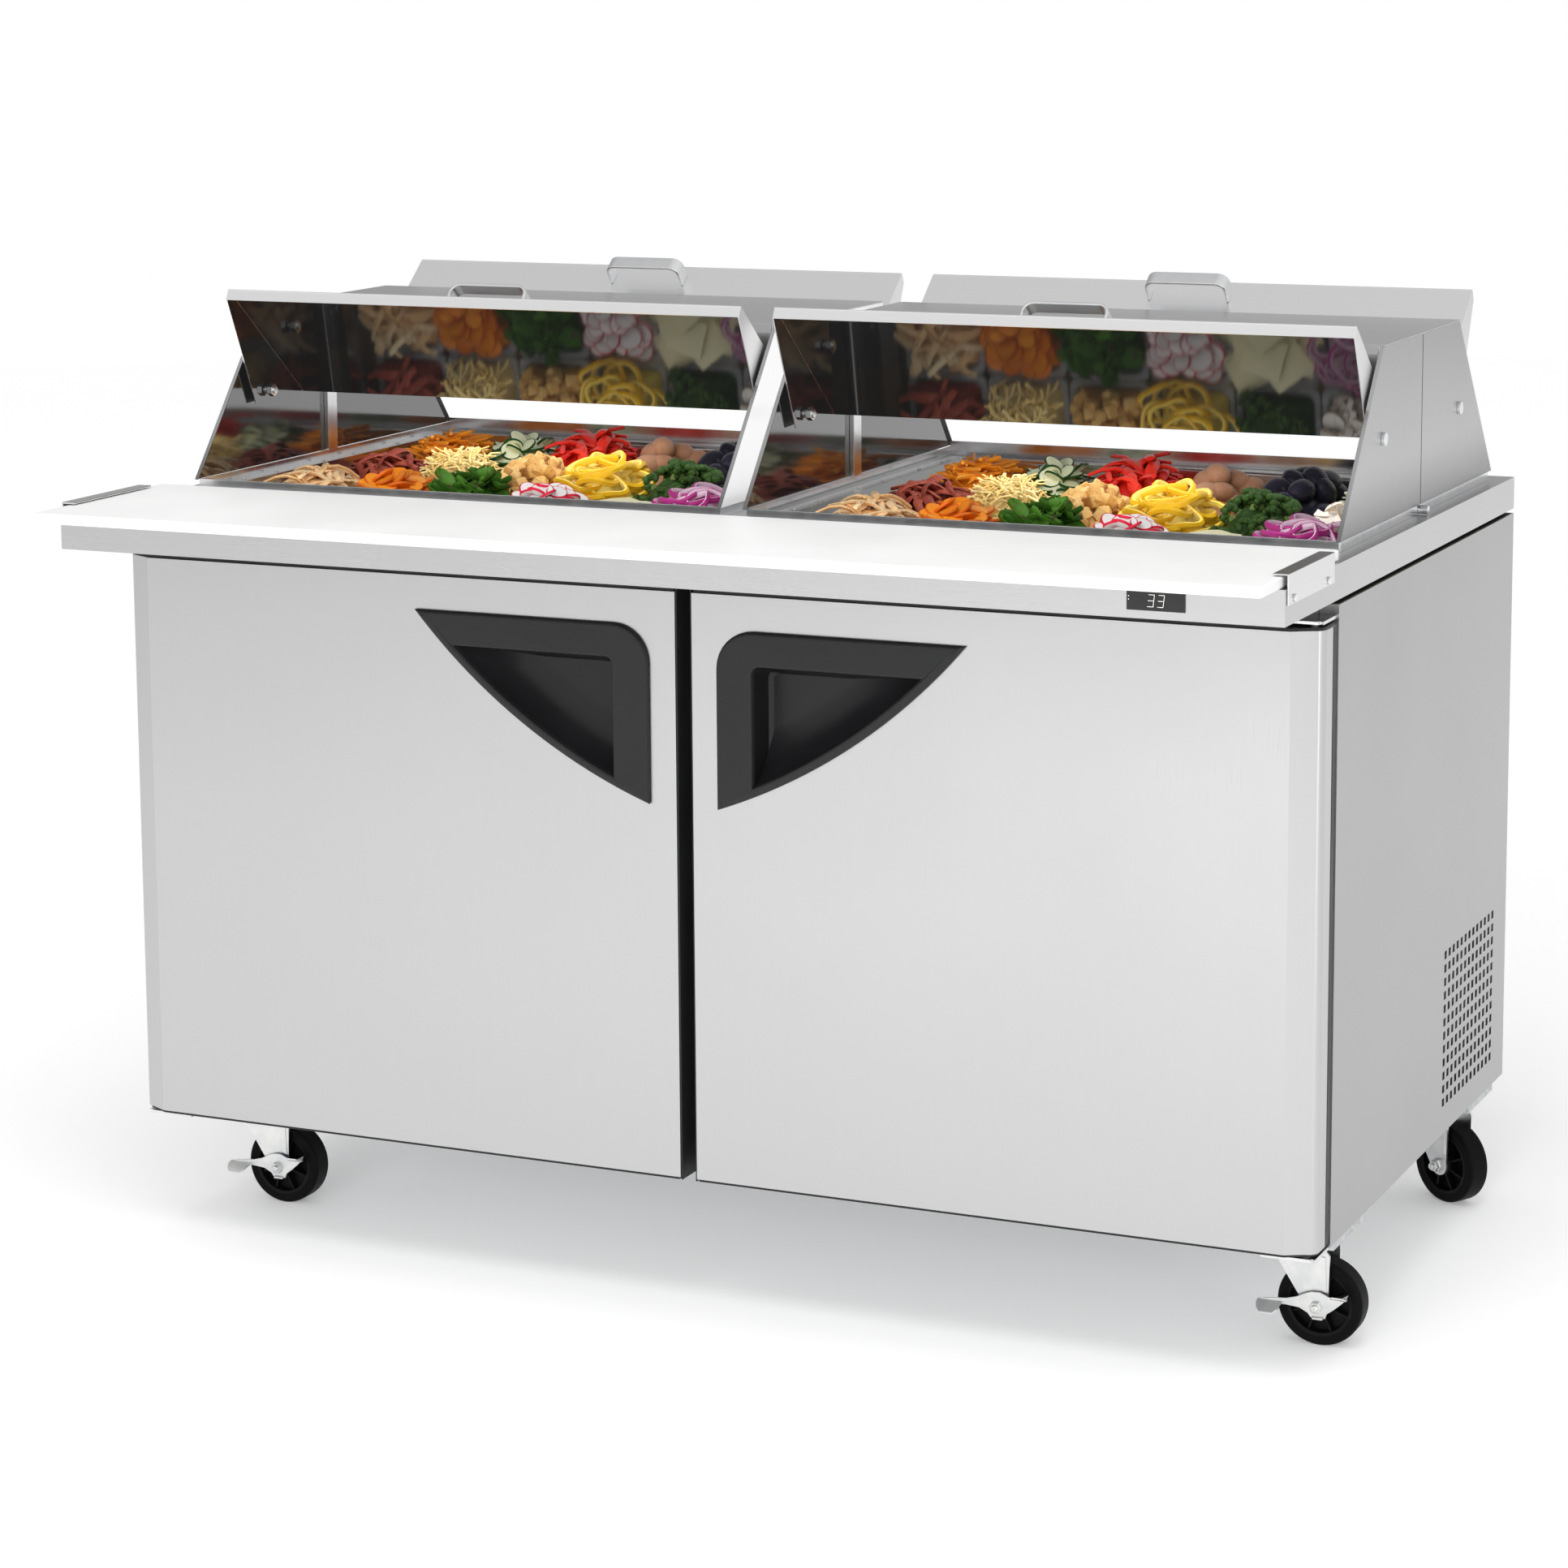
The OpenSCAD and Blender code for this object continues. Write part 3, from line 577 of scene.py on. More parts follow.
def spread(axis: Axis, along: float, u: float, v: float) -> Point:
    """A point from its place along an axis and in the plane across it.

    Args:
        axis: The axis.
        along: Distance along it.
        u: First coordinate across.
        v: Second coordinate across.

    Returns:
        The point.
    """
    return {Axis.X: (along, u, v), Axis.Y: (u, along, v), Axis.Z: (u, v, along)}[axis]


def arc(cx: float, cy: float, r: float, a0: float, a1: float, n: int) -> list[Pair]:
    """Points on an arc.

    Args:
        cx: Centre, first coordinate.
        cy: Centre, second coordinate.
        r: Radius.
        a0: First angle in degrees.
        a1: Last angle in degrees.
        n: Number of steps.

    Returns:
        n + 1 points.
    """
    turn = [math.radians(a0 + (a1 - a0) * i / n) for i in range(n + 1)]
    return [(cx + r * math.cos(t), cy + r * math.sin(t)) for t in turn]


def rounded(x0: float, y0: float, x1: float, y1: float, r: float, n: int = 5) -> list[Pair]:
    """Outline of a rounded rectangle.

    Args:
        x0: Low first coordinate.
        y0: Low second coordinate.
        x1: High first coordinate.
        y1: High second coordinate.
        r: Corner radius.
        n: Steps in each corner.

    Returns:
        The outline, counter-clockwise.
    """
    corners = ((x1 - r, y1 - r, 0), (x0 + r, y1 - r, 90), (x0 + r, y0 + r, 180), (x1 - r, y0 + r, 270))
    return [p for cx, cy, a in corners for p in arc(cx, cy, r, a, a + 90, n)]


class Shape:
    """A mesh in the making, in millimetres in the table's frame."""

    def __init__(self) -> None:
        """Starts empty, with a tint and a zone on each point."""
        self.bm = bmesh.new()
        self.tint_layer = self.bm.verts.layers.float.new("tint")
        self.zone_layer = self.bm.verts.layers.float.new("zone")
        self.tint = 0.5

    @classmethod
    def of_node(cls, node: str) -> "Shape":
        """Copies a CAD node, with its flat faces whole again.

        Args:
            node: The CAD node's name.

        Returns:
            The copy.
        """
        made = cls()
        made.bm.from_mesh(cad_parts[node].data)
        bmesh.ops.scale(made.bm, vec=(1 / MM,) * 3, verts=made.bm.verts)
        bmesh.ops.remove_doubles(made.bm, verts=made.bm.verts, dist=0.005)
        bmesh.ops.dissolve_limit(
            made.bm, angle_limit=math.radians(0.6), verts=made.bm.verts, edges=made.bm.edges
        )
        made.tint_layer = made.bm.verts.layers.float.get("tint") or made.bm.verts.layers.float.new("tint")
        made.zone_layer = made.bm.verts.layers.float.get("zone") or made.bm.verts.layers.float.new("zone")
        return made

    def loft(
        self,
        rings: Sequence[Sequence[Point]],
        caps: bool = True,
        wrap: bool = False,
        slot: int = 0,
        zones: Sequence[float] | None = None,
        matrix: Matrix | None = None,
    ) -> list[bmesh.types.BMFace]:
        """Joins rings of points into one skin.

        Args:
            rings: Rings with the same number of points.
            caps: Whether the first and last rings are filled.
            wrap: Whether the last ring joins the first.
            slot: Material index.
            zones: Zone of each ring.
            matrix: Where the skin goes.

        Returns:
            The new faces.
        """
        rows = []
        for i, ring in enumerate(rings):
            row = []
            for p in ring:
                vert = self.bm.verts.new(matrix @ Vector(p) if matrix else p)
                vert[self.tint_layer] = self.tint
                vert[self.zone_layer] = zones[i] if zones else 0.0
                row.append(vert)
            rows.append(row)
        pairs = list(zip(rows, rows[1:])) + ([(rows[-1], rows[0])] if wrap else [])
        faces = []
        for low, high in pairs:
            n = len(low)
            for k in range(n):
                faces.append(self.bm.faces.new((low[k], low[(k + 1) % n], high[(k + 1) % n], high[k])))
        if caps and not wrap:
            faces.append(self.bm.faces.new(rows[0][::-1]))
            faces.append(self.bm.faces.new(rows[-1]))
        for face in faces:
            face.material_index = slot
        return faces

    def prism(self, outline: Sequence[Pair], axis: Axis, a: float, b: float, slot: int = 0) -> None:
        """Carries an outline along an axis.

        Args:
            outline: Points across the axis.
            axis: The axis.
            a: First place along it.
            b: Second place along it.
            slot: Material index.
        """
        self.loft([[spread(axis, t, u, v) for u, v in outline] for t in (a, b)], slot=slot)

    def lathe(
        self, profile: Sequence[Pair], axis: Axis, centre: Point, steps: int, slot: int = 0, closed: bool = True
    ) -> None:
        """Turns a profile round an axis.

        Args:
            profile: Points as radius and place along the axis.
            axis: The axis.
            centre: A point on it.
            steps: Steps in a turn.
            slot: Material index.
            closed: Whether the profile closes on itself; if not, its ends are filled.
        """
        rings = []
        for radius, along in profile:
            ring = []
            for k in range(steps):
                t = math.tau * k / steps
                p = spread(axis, along, radius * math.cos(t), radius * math.sin(t))
                ring.append(tuple(c + q for c, q in zip(centre, p)))
            rings.append(ring)
        self.loft(rings, caps=not closed, wrap=closed, slot=slot)

    def paint(self, choose: Callable[[Vector, Vector], int]) -> "Shape":
        """Gives each face a material index.

        Args:
            choose: From a face's middle and normal to the index.

        Returns:
            This shape.
        """
        self.bm.normal_update()
        for face in self.bm.faces:
            face.material_index = choose(face.calc_center_median(), face.normal)
        return self

    def soften(self, width: float, steps: int = 2, angle: float = 28.0) -> "Shape":
        """Rounds the edges.

        Args:
            width: Bevel width.
            steps: Bevel segments.
            angle: Smallest angle of an edge that is rounded, in degrees.

        Returns:
            This shape.
        """
        bmesh.ops.recalc_face_normals(self.bm, faces=self.bm.faces)
        sharp = [
            e for e in self.bm.edges
            if len(e.link_faces) == 2 and e.calc_face_angle(0.0) > math.radians(angle)
        ]
        bmesh.ops.bevel(
            self.bm, geom=sharp, offset=width, offset_type="OFFSET", segments=steps, profile=0.5,
            affect="EDGES", clamp_overlap=True,
        )
        return self

    def piece(
        self,
        name: str,
        body: str,
        slot: str | None,
        finishes: Sequence[Finish],
        replaces: Iterable[str] = (),
        smooth: float = 40.0,
        weighted: bool = True,
    ) -> bpy.types.Object:
        """slot: The record's material slot; not used.
            finishes: Finishes by material index.
            replaces: CAD nodes that it stands for.
            smooth: Edges sharper than this many degrees stay sharp.
            weighted: Whether large faces keep their own normals.

        Returns:
            The new object.
        """
        bmesh.ops.recalc_face_normals(self.bm, faces=self.bm.faces)
        bmesh.ops.scale(self.bm, vec=(MM,) * 3, verts=self.bm.verts)
        mesh = bpy.data.meshes.new(name)
        self.bm.to_mesh(mesh)
        self.bm.free()
        for finish in finishes:
            mesh.materials.append(finish.material())
        mesh.shade_smooth()
        mesh.set_sharp_from_angle(angle=math.radians(smooth))
        obj = bpy.data.objects.new(name, mesh)
        bpy.context.scene.collection.objects.link(obj)
        if weighted:
            keeper = obj.modifiers.new("even_normals", "WEIGHTED_NORMAL")
            keeper.keep_sharp = True
        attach(obj, body)
        if replaces:
            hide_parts(*replaces)
        log.info("%s: %d points on %s", name, len(mesh.vertices), body)
        return obj


def dress(node: str, finish: Finish, top: Finish | None = None, top_z: float = 0.0) -> None:
    """Gives a CAD node its finish.

    Args:
        node: The CAD node's name.
        finish: The finish.
        top: Another finish for the faces above a height.
        top_z: That height in millimetres.
    """
    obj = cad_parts[node]
    obj.data.materials.clear()
    obj.data.materials.append(finish.material())
    if top:
        obj.data.materials.append(top.material())
    for polygon in obj.data.polygons:
        polygon.material_index = int(top is not None and polygon.center.z > top_z * MM)
    log.info("%s keeps its shape and wears %s", node, finish.name)


def refine(
    node: str, body: str, slot: str, finishes: Sequence[Finish], width: float, steps: int = 2,
    choose: Callable[[Vector, Vector], int] | None = None,
) -> bpy.types.Object:
    """Replaces a CAD node with a copy whose edges are rounded.

    Args:
        node: The CAD node's name.
        body: Its body.
        slot: Its material slot.
        finishes: Finishes by material index.
        width: Bevel width in millimetres.
        steps: Bevel segments.
        choose: Picks each face's material index.

    Returns:
        The new object.
    """
    shape = Shape.of_node(node)
    if choose:
        shape.paint(choose)
    return shape.soften(width, steps).piece(f"{node}_formed", body, slot, finishes, (node,))


# ---- Cabinet ----


@dataclass
class Cabinet:
    """Sheet-metal case, its lining, shelves and refrigeration."""

    body: str = "cabinet"
    fold: float = 0.6
    foam_top: float = 880.0

    def build(self) -> None:
        """Makes the outer sheets with folded edges."""
        refine("side_panel_left", self.body, "stainless", [PANEL_STEEL_PAINTED_SHADE], self.fold)
        refine("front_frame", self.body, "stainless", [PANEL_STEEL_PAINTED_SHADE], self.fold)
        refine("evaporator_housing", self.body, "white_plastic", [WHITE_PLASTIC], self.fold)
        refine("compressor", self.body, "black_metal", [MOTOR_BLACK], 1.5, 3)

    def dress(self) -> None:
        """Finishes the CAD nodes whose shape is already right."""
        for node, finish in (
            ("side_panel_right", PANEL_STEEL_PAINTED_SHADE), ("back_panel", PANEL_STEEL_PAINTED_SHADE), ("base_frame", GALVANISED),
            ("cabinet_liner", LINER_STEEL), ("shelves", WIRE_COAT),
            ("shelf_supports", BAR_STEEL), ("evaporator_fan", WHITE_PLASTIC),
            ("condenser_coil", FINS), ("condenser_fan", WHITE_PLASTIC), ("fan_motor", MOTOR_BLACK),
            ("unit_tray", GALVANISED), ("cord_gland", TRIM_BLACK),
        ):
            dress(node, finish)
        dress("foam_core", CREAM_FOAM, SEAL_BLACK, self.foam_top)


@dataclass
class Counter:
    """Folded top, cutting board, its brackets and the display."""

    body: str = "cabinet"
    digit_w: float = 7.2
    digit_h: float = 13.0
    stroke: float = 0.9
    lean: float = 0.12
    display_x: float = 622.0
    display_z: float = 910.6
    front_y: float = -455.5
    stroke_gap: float = 0.25

    def build(self) -> None:
        """Makes the top, the board and the brackets."""
        refine("worktop", self.body, "stainless", [TOP_STEEL], 1.0, 3)
        refine("cutting_board", "board", "board_white", [BOARD_WHITE], 2.2, 4)
        refine("board_brackets", self.body, "bracket_steel", [BRACKET_STEEL], 0.7, 3)
        refine("control_display", self.body, "display", [DISPLAY_GLASS], 0.6, 2)
        self.digits()

    def digits(self) -> None:
        """Two figures of lit strokes and two small lamps on the display."""
        shape = Shape()
        w, h, t = self.digit_w, self.digit_h, self.stroke
        level = ((0, h, w, h + t), (0, h / 2, w, h / 2 + t), (0, 0, w, t))
        strokes = level + ((w - t, 0, w, h / 2), (w - t, h / 2, w, h + t))
        for x0 in (self.display_x - w - 2.0, self.display_x + 2.0):
            for a, b, c, d in strokes:
                a, b, c, d = a + self.stroke_gap, b + self.stroke_gap, c - self.stroke_gap, d - self.stroke_gap
                corners = ((a, b), (c, b), (c, d), (a, d))
                outline = [(x0 + u + v * self.lean, self.display_z - h / 2 + v) for u, v in corners]
                shape.prism(outline, Axis.Y, self.front_y - 0.12, self.front_y + 0.05)
        for x, z in ((self.display_x - 30, self.display_z + 4.5), (self.display_x - 30, self.display_z + 1.0)):
            shape.prism(arc(x, z, 0.5, 0, 330, 11), Axis.Y, self.front_y - 0.12, self.front_y + 0.05)
        shape.piece("display_digits", self.body, "display", [DIGITS], weighted=False)

    def dress(self) -> None:
        """Finishes the seal under the top."""
        dress("top_insulation", SEAL_BLACK)


# ---- Hoods ----


@dataclass
class Hoods:
    """End panels, covers, rails, bolts and the four lids."""

    body: str = "cabinet"
    middle_y: float = 149.0
    lid_profile: tuple[Pair, ...] = ((253, 1177), (75, 1030), (195, 1025), (259.5, 1164))
    lid_wall: float = 3.0
    end_x: float = 745.0
    seam_z: Pair = (944.0, 1145.0)
    seam_half: float = 0.8
    gap_half: float = 20.0
    probe: float = 4.0

    def build(self) -> None:
        """Makes the fixed sheets, then the lids and their handles."""
        for side, lr in SIDES:
            lo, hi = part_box(f"hood_ends_{lr}")
            mid = (lo.x + hi.x) / 2 / MM
            self.ends(lr, side, mid)
        refine("hood_covers", self.body, "hood_steel", [COVER_STEEL, MIRROR_STEEL_PAINTED_SHADE_AND_GLOW], 0.5, 2, self.cover_side)
        refine("hood_frames", self.body, "hood_steel", [CHROME], 0.4)
        refine("screws", self.body, "chrome", [CHROME], 0.9, 3)
        for fr, sign in (("front", -1), ("rear", 1)):
            for side, lr in SIDES:
                self.lid(fr, sign, lr)

    def ends(self, lr: str, side: int, mid: float) -> None:
        """Makes both end panels of a hood, with a dark line at the seam.

        Args:
            lr: left or right.
            side: -1 for left and 1 for right.
            mid: Middle of the hood.
        """

        def facing(centre: Vector, normal: Vector) -> int:
            """Sorts the panels' faces.

            Args:
                centre: The face's middle.
                normal: Its normal.

            Returns:
                0 outside, with painted shade low down; 1 inside, painted dark with a faint painted glow; 2 in the gap
                between the hoods, with a painted glow.
            """
            if normal.x * (mid - centre.x) > 0.5 * abs(mid - centre.x):
                return 1
            return 2 if abs(centre.x) < self.gap_half and abs(normal.x) > 0.5 else 0

        shape = Shape.of_node(f"hood_ends_{lr}").paint(facing).soften(0.4)
        x, (low, high) = side * self.end_x, self.seam_z
        y0, y1 = self.middle_y - self.seam_half, self.middle_y + self.seam_half
        seam = [(y0, low), (y1, low), (y1, high), (y0, high)]
        shape.prism(seam, Axis.X, x - side * 0.3, x + side * 0.12, 3)
        # Outside with painted shade low down, inside painted dark with a faint painted glow, the gap with a painted
        # glow, then the seam line.
        finishes = [END_STEEL_PAINTED_SHADE, MIRROR_STEEL_PAINTED_SHADE_AND_GLOW, GAP_STEEL_PAINTED_GLOW, SEAL_BLACK]
        node = f"hood_ends_{lr}"
        shape.piece(f"{node}_formed", self.body, "hood_steel", finishes, (node,))

    def cover_side(self, centre: Vector, normal: Vector) -> int:
        """Inner faces of the covers are mirror bright, with a painted dark tone and a faint painted glow.

        Args:
            centre: The face's middle.
            normal: Its normal.

        Returns:
            1 inside and 0 outside.
        """
        inward = normal.y * (self.middle_y - centre.y) > 20
        return int(normal.z < -0.5 or inward)

    def lid(self, fr: str, sign: int, lr: str) -> None:
        """Makes one lid and its strap handle.

        Args:
            fr: front or rear.
            sign: -1 for front and 1 for rear.
            lr: left or right.
        """
        node = f"lid_{fr}_{lr}"
        lo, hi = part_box(node)
        wall = self.lid_wall
        x0, x1 = lo.x / MM + wall, hi.x / MM - wall
        body = f"lid_{fr[0]}{lr[0]}"

        def inner(centre: Vector, normal: Vector) -> int:
            """1 where a step along the normal lands inside the lid."""
            p = centre + normal * self.probe
            return int(x0 - wall < p.x < x1 + wall and self.inside((sign * (p.y - self.middle_y), p.z)))

        # The lid's outside is painted light; its inside is dark mirror with painted shade and a faint painted glow.
        refine(node, body, "hood_steel", [LID_STEEL_PAINTED_LIGHT, MIRROR_STEEL_PAINTED_SHADE_AND_GLOW], 0.5, 2, inner)
        refine(f"lid_handle_{fr}_{lr}", body, "chrome", [CHROME], 1.4, 3)

    def inside(self, p: Pair) -> bool:
        """Whether a point in a lid's section is inside its outline.

        Args:
            p: Depth from the hood's middle, and height.

        Returns:
            True inside.
        """
        odd = False
        ring = self.lid_profile
        for (ax, ay), (bx, by) in zip(ring, ring[1:] + ring[:1]):
            if (ay > p[1]) != (by > p[1]) and p[0] < (bx - ax) * (p[1] - ay) / (by - ay) + ax:
                odd = not odd
        return odd


# ---- Pans and food ----


@dataclass
class PanWells:
    """Steel wells, bars and the clear pans."""

    body: str = "cabinet"
    pitch_x: float = 108.0
    pitch_y: float = 176.0
    first_x: float = 61.0
    middle_y: float = 149.0
    rim_z: float = 881.3
    depth: float = 150.0
    pan_points: int = 260

    def build(self) -> None:
        """Makes the wells, the bars and one mesh with every pan."""
        refine("pan_wells", self.body, "liner_steel", [LINER_STEEL], 0.3, 1)
        refine("divider_bars", self.body, "standard_steel", [BAR_STEEL], 0.4)
        shape = Shape()
        for side, _ in SIDES:
            for i in range(6):
                for j in range(3):
                    x = side * (self.first_x + (i + 0.5) * self.pitch_x)
                    self.pan(shape, x, self.middle_y + (j - 1) * self.pitch_y)
        shape.piece("pans_clear", self.body, "pan_plastic", [PAN_CLEAR], ("food_pans",), 50.0, False)

    def pan(self, shape: Shape, x: float, y: float) -> None:
        """One tapered pan with a turned rim.

        Args:
            shape: The mesh that takes it.
            x: Middle of the pan.
            y: Middle of the pan.
        """
        w, d, z = self.pitch_x / 2 - 1, self.pitch_y / 2 - 1, self.rim_z
        steps = (
            (6.5, 12, -2.0), (0.6, 9, -2.0), (0.0, 10, -1.4), (0.0, 10, -0.5), (0.7, 9.5, 0.0),
            (7.6, 13, 0.0), (8.6, 13, -1.4), (9.4, 13, -30.0), (13.0, 15, 4 - self.depth),
            (16.0, 12, 2.2 - self.depth), (14.0, 12, -self.depth), (11.0, 15, 3 - self.depth), (7.4, 13, -30.0),
        )
        rings = [
            [(x + u, y + v, z + dz) for u, v in rounded(-w + t, -d + t, w - t, d - t, r, 4)]
            for t, r, dz in steps
        ]
        floor_in, floor_out = rings[9], rings[10]
        shape.loft(rings[10:] + rings[:10], caps=False)
        for ring, order in ((floor_in, 1), (floor_out, -1)):
            found = [self.nearest(shape, p) for p in ring][::order]
            shape.bm.faces.new(found)

    def nearest(self, shape: Shape, p: Point) -> bmesh.types.BMVert:
        """The newest point of the mesh at a place.

        Args:
            shape: The mesh.
            p: The place.

        Returns:
            The point.
        """
        shape.bm.verts.ensure_lookup_table()
        tail = shape.bm.verts[-self.pan_points:]
        return min(tail, key=lambda v: (v.co - Vector(p)).length_squared)


def ellipse(rx: float, ry: float, n: int) -> list[Pair]:
    """Points on an ellipse.

    Args:
        rx: First radius.
        ry: Second radius.
        n: Number of points.

    Returns:
        The points.
    """
    return [(rx * math.cos(math.tau * k / n), ry * math.sin(math.tau * k / n)) for k in range(n)]


@dataclass
class Morsel:
    """One item of food: the mesh that takes it, its chance and its place."""

    shape: Shape
    rng: random.Random
    place: Matrix

    def limb(
        self, spine: Sequence[Point], radii: Sequence[Pair], n: int, zones: Sequence[float] | None = None
    ) -> None:
        """Skins an ellipse along a spine that runs roughly along X.

        Args:
            spine: Middle of each section.
            radii: Radii of each section across and up.
            n: Points in a section.
            zones: Zone of each section.
        """
        rings = [[(x, y + a, z + b) for a, b in ellipse(rx, ry, n)] for (x, y, z), (rx, ry) in zip(spine, radii)]
        self.shape.loft(rings, matrix=self.place, zones=zones)

    def slices(self, outline: Sequence[Pair], levels: Sequence[Point]) -> None:
        """Stacks scaled copies of an outline.

        Args:
            outline: The outline.
            levels: Scale, height and zone of each copy.
        """
        rings = [[(x * k, y * k, z) for x, y in outline] for k, z, _ in levels]
        self.shape.loft(rings, matrix=self.place, zones=[zone for _, _, zone in levels])

    def stick(self) -> None:
        """A thin square-cut stick with a slight bend."""
        half, w = self.rng.uniform(22, 31), self.rng.uniform(1.9, 2.9)
        bend = self.rng.uniform(-4, 4)
        spine = [(x, bend * (1 - (x / half) ** 2), 0.0) for x in (-half, -half * 0.4, half * 0.4, half)]
        self.limb(spine, [(w * 0.8, w * 0.8), (w * 1.1, w), (w * 1.1, w), (w * 0.7, w * 0.7)], 5)

    def strip(self) -> None:
        """A curved flat strip of vegetable or meat."""
        half, w = self.rng.uniform(18, 27), self.rng.uniform(3.4, 5.4)
        curl = self.rng.uniform(5, 13)
        xs = (-1, -0.6, -0.2, 0.2, 0.6, 1)
        spine = [(x * half, self.rng.uniform(-1, 1), curl * (1 - x * x) - 4) for x in xs]
        self.limb(spine, [(w * (1.05 - 0.4 * abs(x)), 1.7) for x in xs], 8, [0.2, 0.2, 0, 0, 0.2, 0.2])

    def shred(self) -> None:
        """A thin curly shred."""
        half, w = self.rng.uniform(10, 19), self.rng.uniform(1.0, 1.8)
        xs = (-1, -0.5, 0, 0.5, 1)
        a, b = self.rng.uniform(-8, 8), self.rng.uniform(-1, 6)
        spine = [(x * half, a * math.sin(2.2 * x), b * (1 - x * x) + self.rng.uniform(-1, 1)) for x in xs]
        self.shape.tint = self.rng.random()
        self.limb(spine, [(w, 0.8)] * 5, 5)

    def coin(self) -> None:
        """A round slice with a skin at its edge."""
        r, t = self.rng.uniform(11.5, 14.5), 1.3
        squash = self.rng.uniform(0.85, 1.0)
        levels = (
            (r * 0.82, -t, 0.1), (r * 0.97, -t, 0.9), (r, -t * 0.4, 1.0), (r, t * 0.4, 1.0),
            (r * 0.97, t, 0.9), (r * 0.84, t, 0.1), (r * 0.45, t * 0.8, 0.0),
        )
        self.slices(ellipse(1.0, squash, 18), levels)

    def hoop(self) -> None:
        """A cut ring, wavy, with skin outside and flesh inside."""
        big, fat, n, m = self.rng.uniform(13, 23), self.rng.uniform(2.6, 3.6), 20, 6
        wave, lobes = self.rng.uniform(0.03, 0.12), self.rng.choice((3, 4))
        rows, zones = [], []
        for j in range(m):
            b = math.tau * j / m
            ring = []
            for k in range(n):
                a = math.tau * k / n
                r = big * (1 + wave * math.cos(lobes * a)) + fat * 0.75 * math.cos(b)
                ring.append((r * math.cos(a), r * math.sin(a), fat * math.sin(b) + 2.2 * math.sin(2 * a)))
            rows.append(ring)
            zones.append(1.0 if math.cos(b) > 0.3 else 0.0)
        self.shape.loft(rows, caps=False, wrap=True, matrix=self.place, zones=zones)

    def cube(self) -> None:
        """A roughly cut dice with a crust at its ends."""
        a, b, c = (self.rng.uniform(6.0, 8.5) for _ in range(3))
        jolt = 0.7
        rings = []
        for z in (-c, -c * 0.75, c * 0.75, c):
            k = 0.86 if abs(z) == c else 1.0
            outline = rounded(-a, -b, a, b, 1.8, 2)
            rings.append([
                (x * k + self.rng.uniform(-jolt, jolt), y * k + self.rng.uniform(-jolt, jolt), z) for x, y in outline
            ])
        self.shape.loft(rings, matrix=self.place, zones=[1.0, 0.6, 0.0, 0.2])

    def ball(self, rx: float, rz: float, n: int) -> None:
        """An egg or fruit with a slightly uneven skin.

        Args:
            rx: Radius along X.
            rz: Radius across.
            n: Points round it.
        """
        rings = []
        for k in range(1, 9):
            t = math.pi * k / 9
            q = math.sin(t) * (1 + 0.12 * math.cos(t))
            ring = ellipse(rz * q, rz * q * self.rng.uniform(0.97, 1.03), n)
            rings.append([(-rx * 1.25 * math.cos(t), y, z) for y, z in ring])
        self.shape.loft(rings, matrix=self.place)

    def plum(self) -> None:
        """A dark fruit."""
        self.ball(15.0, 13.5, 18)

    def egg(self) -> None:
        """A whole egg."""
        self.ball(self.rng.uniform(12, 15), self.rng.uniform(11, 13), 16)

    def floret(self) -> None:
        """A head of tight buds on a stalk."""
        self.limb([(0, 0, -14), (0.1, 0, -4)], [(3, 3), (4, 4)], 6, [1, 1])
        for _ in range(15):
            a, b = self.rng.uniform(0, math.tau), self.rng.uniform(0, 1.25)
            spot = Vector((math.sin(b) * math.cos(a), math.sin(b) * math.sin(a), math.cos(b) * 0.85)) * 10.5
            self.shape.tint = self.rng.random() * 0.8
            bud = self.place @ Matrix.Translation(spot) @ Matrix.Rotation(a, 4, "Z")
            Morsel(self.shape, self.rng, bud).ball(2.7, 3.4, 7)

    def leaf(self) -> None:
        """A cupped leaf with a ruffled edge and a rib."""
        half, wide = self.rng.uniform(17, 25), self.rng.uniform(8, 13)
        rings, cup = [], self.rng.uniform(2, 7)
        for x in (-1, -0.75, -0.4, 0.0, 0.4, 0.75, 1):
            w = wide * math.sqrt(max(0.02, 1 - x * x)) * (1 + 0.15 * math.sin(9 * x + half))
            top = []
            for y in (-1, -0.5, 0, 0.5, 1):
                top.append((x * half, y * w, cup * (y * y + 0.5 * x * x) + 1.1 * math.sin(7 * x + 6 * y)))
            rings.append(top + [(p[0], p[1] * 0.97, p[2] - 0.8) for p in reversed(top)])
        self.shape.loft(rings, matrix=self.place)

    def slab(self) -> None:
        """A sagging square slice of cheese."""
        half = self.rng.uniform(25, 29)
        rings = []
        for i in range(6):
            x = (i / 5 * 2 - 1) * half
            top = [(x, y * half, -2.2 * (x * x + y * y * half * half) / 900) for y in (-1, -0.5, 0, 0.5, 1)]
            rings.append(top + [(p[0], p[1], p[2] - 2.0) for p in reversed(top)])
        self.shape.loft(rings, matrix=self.place, zones=[0.2] * 6)

    def cap_slice(self) -> None:
        """A sliced mushroom: cap, gill line and stem in one outline."""
        r = self.rng.uniform(10, 13)
        stem = ((-0.75, -0.28), (-0.3, -0.18), (-0.26, -0.85), (0.26, -0.85), (0.3, -0.18), (0.75, -0.28))
        outline = arc(0, 0, r, 0, 180, 9) + [(u * r, v * r) for u, v in stem]
        self.slices(outline, ((0.93, -1.4, 0.0), (1.0, -0.9, 1.0), (1.0, 0.9, 1.0), (0.93, 1.4, 0.0)))


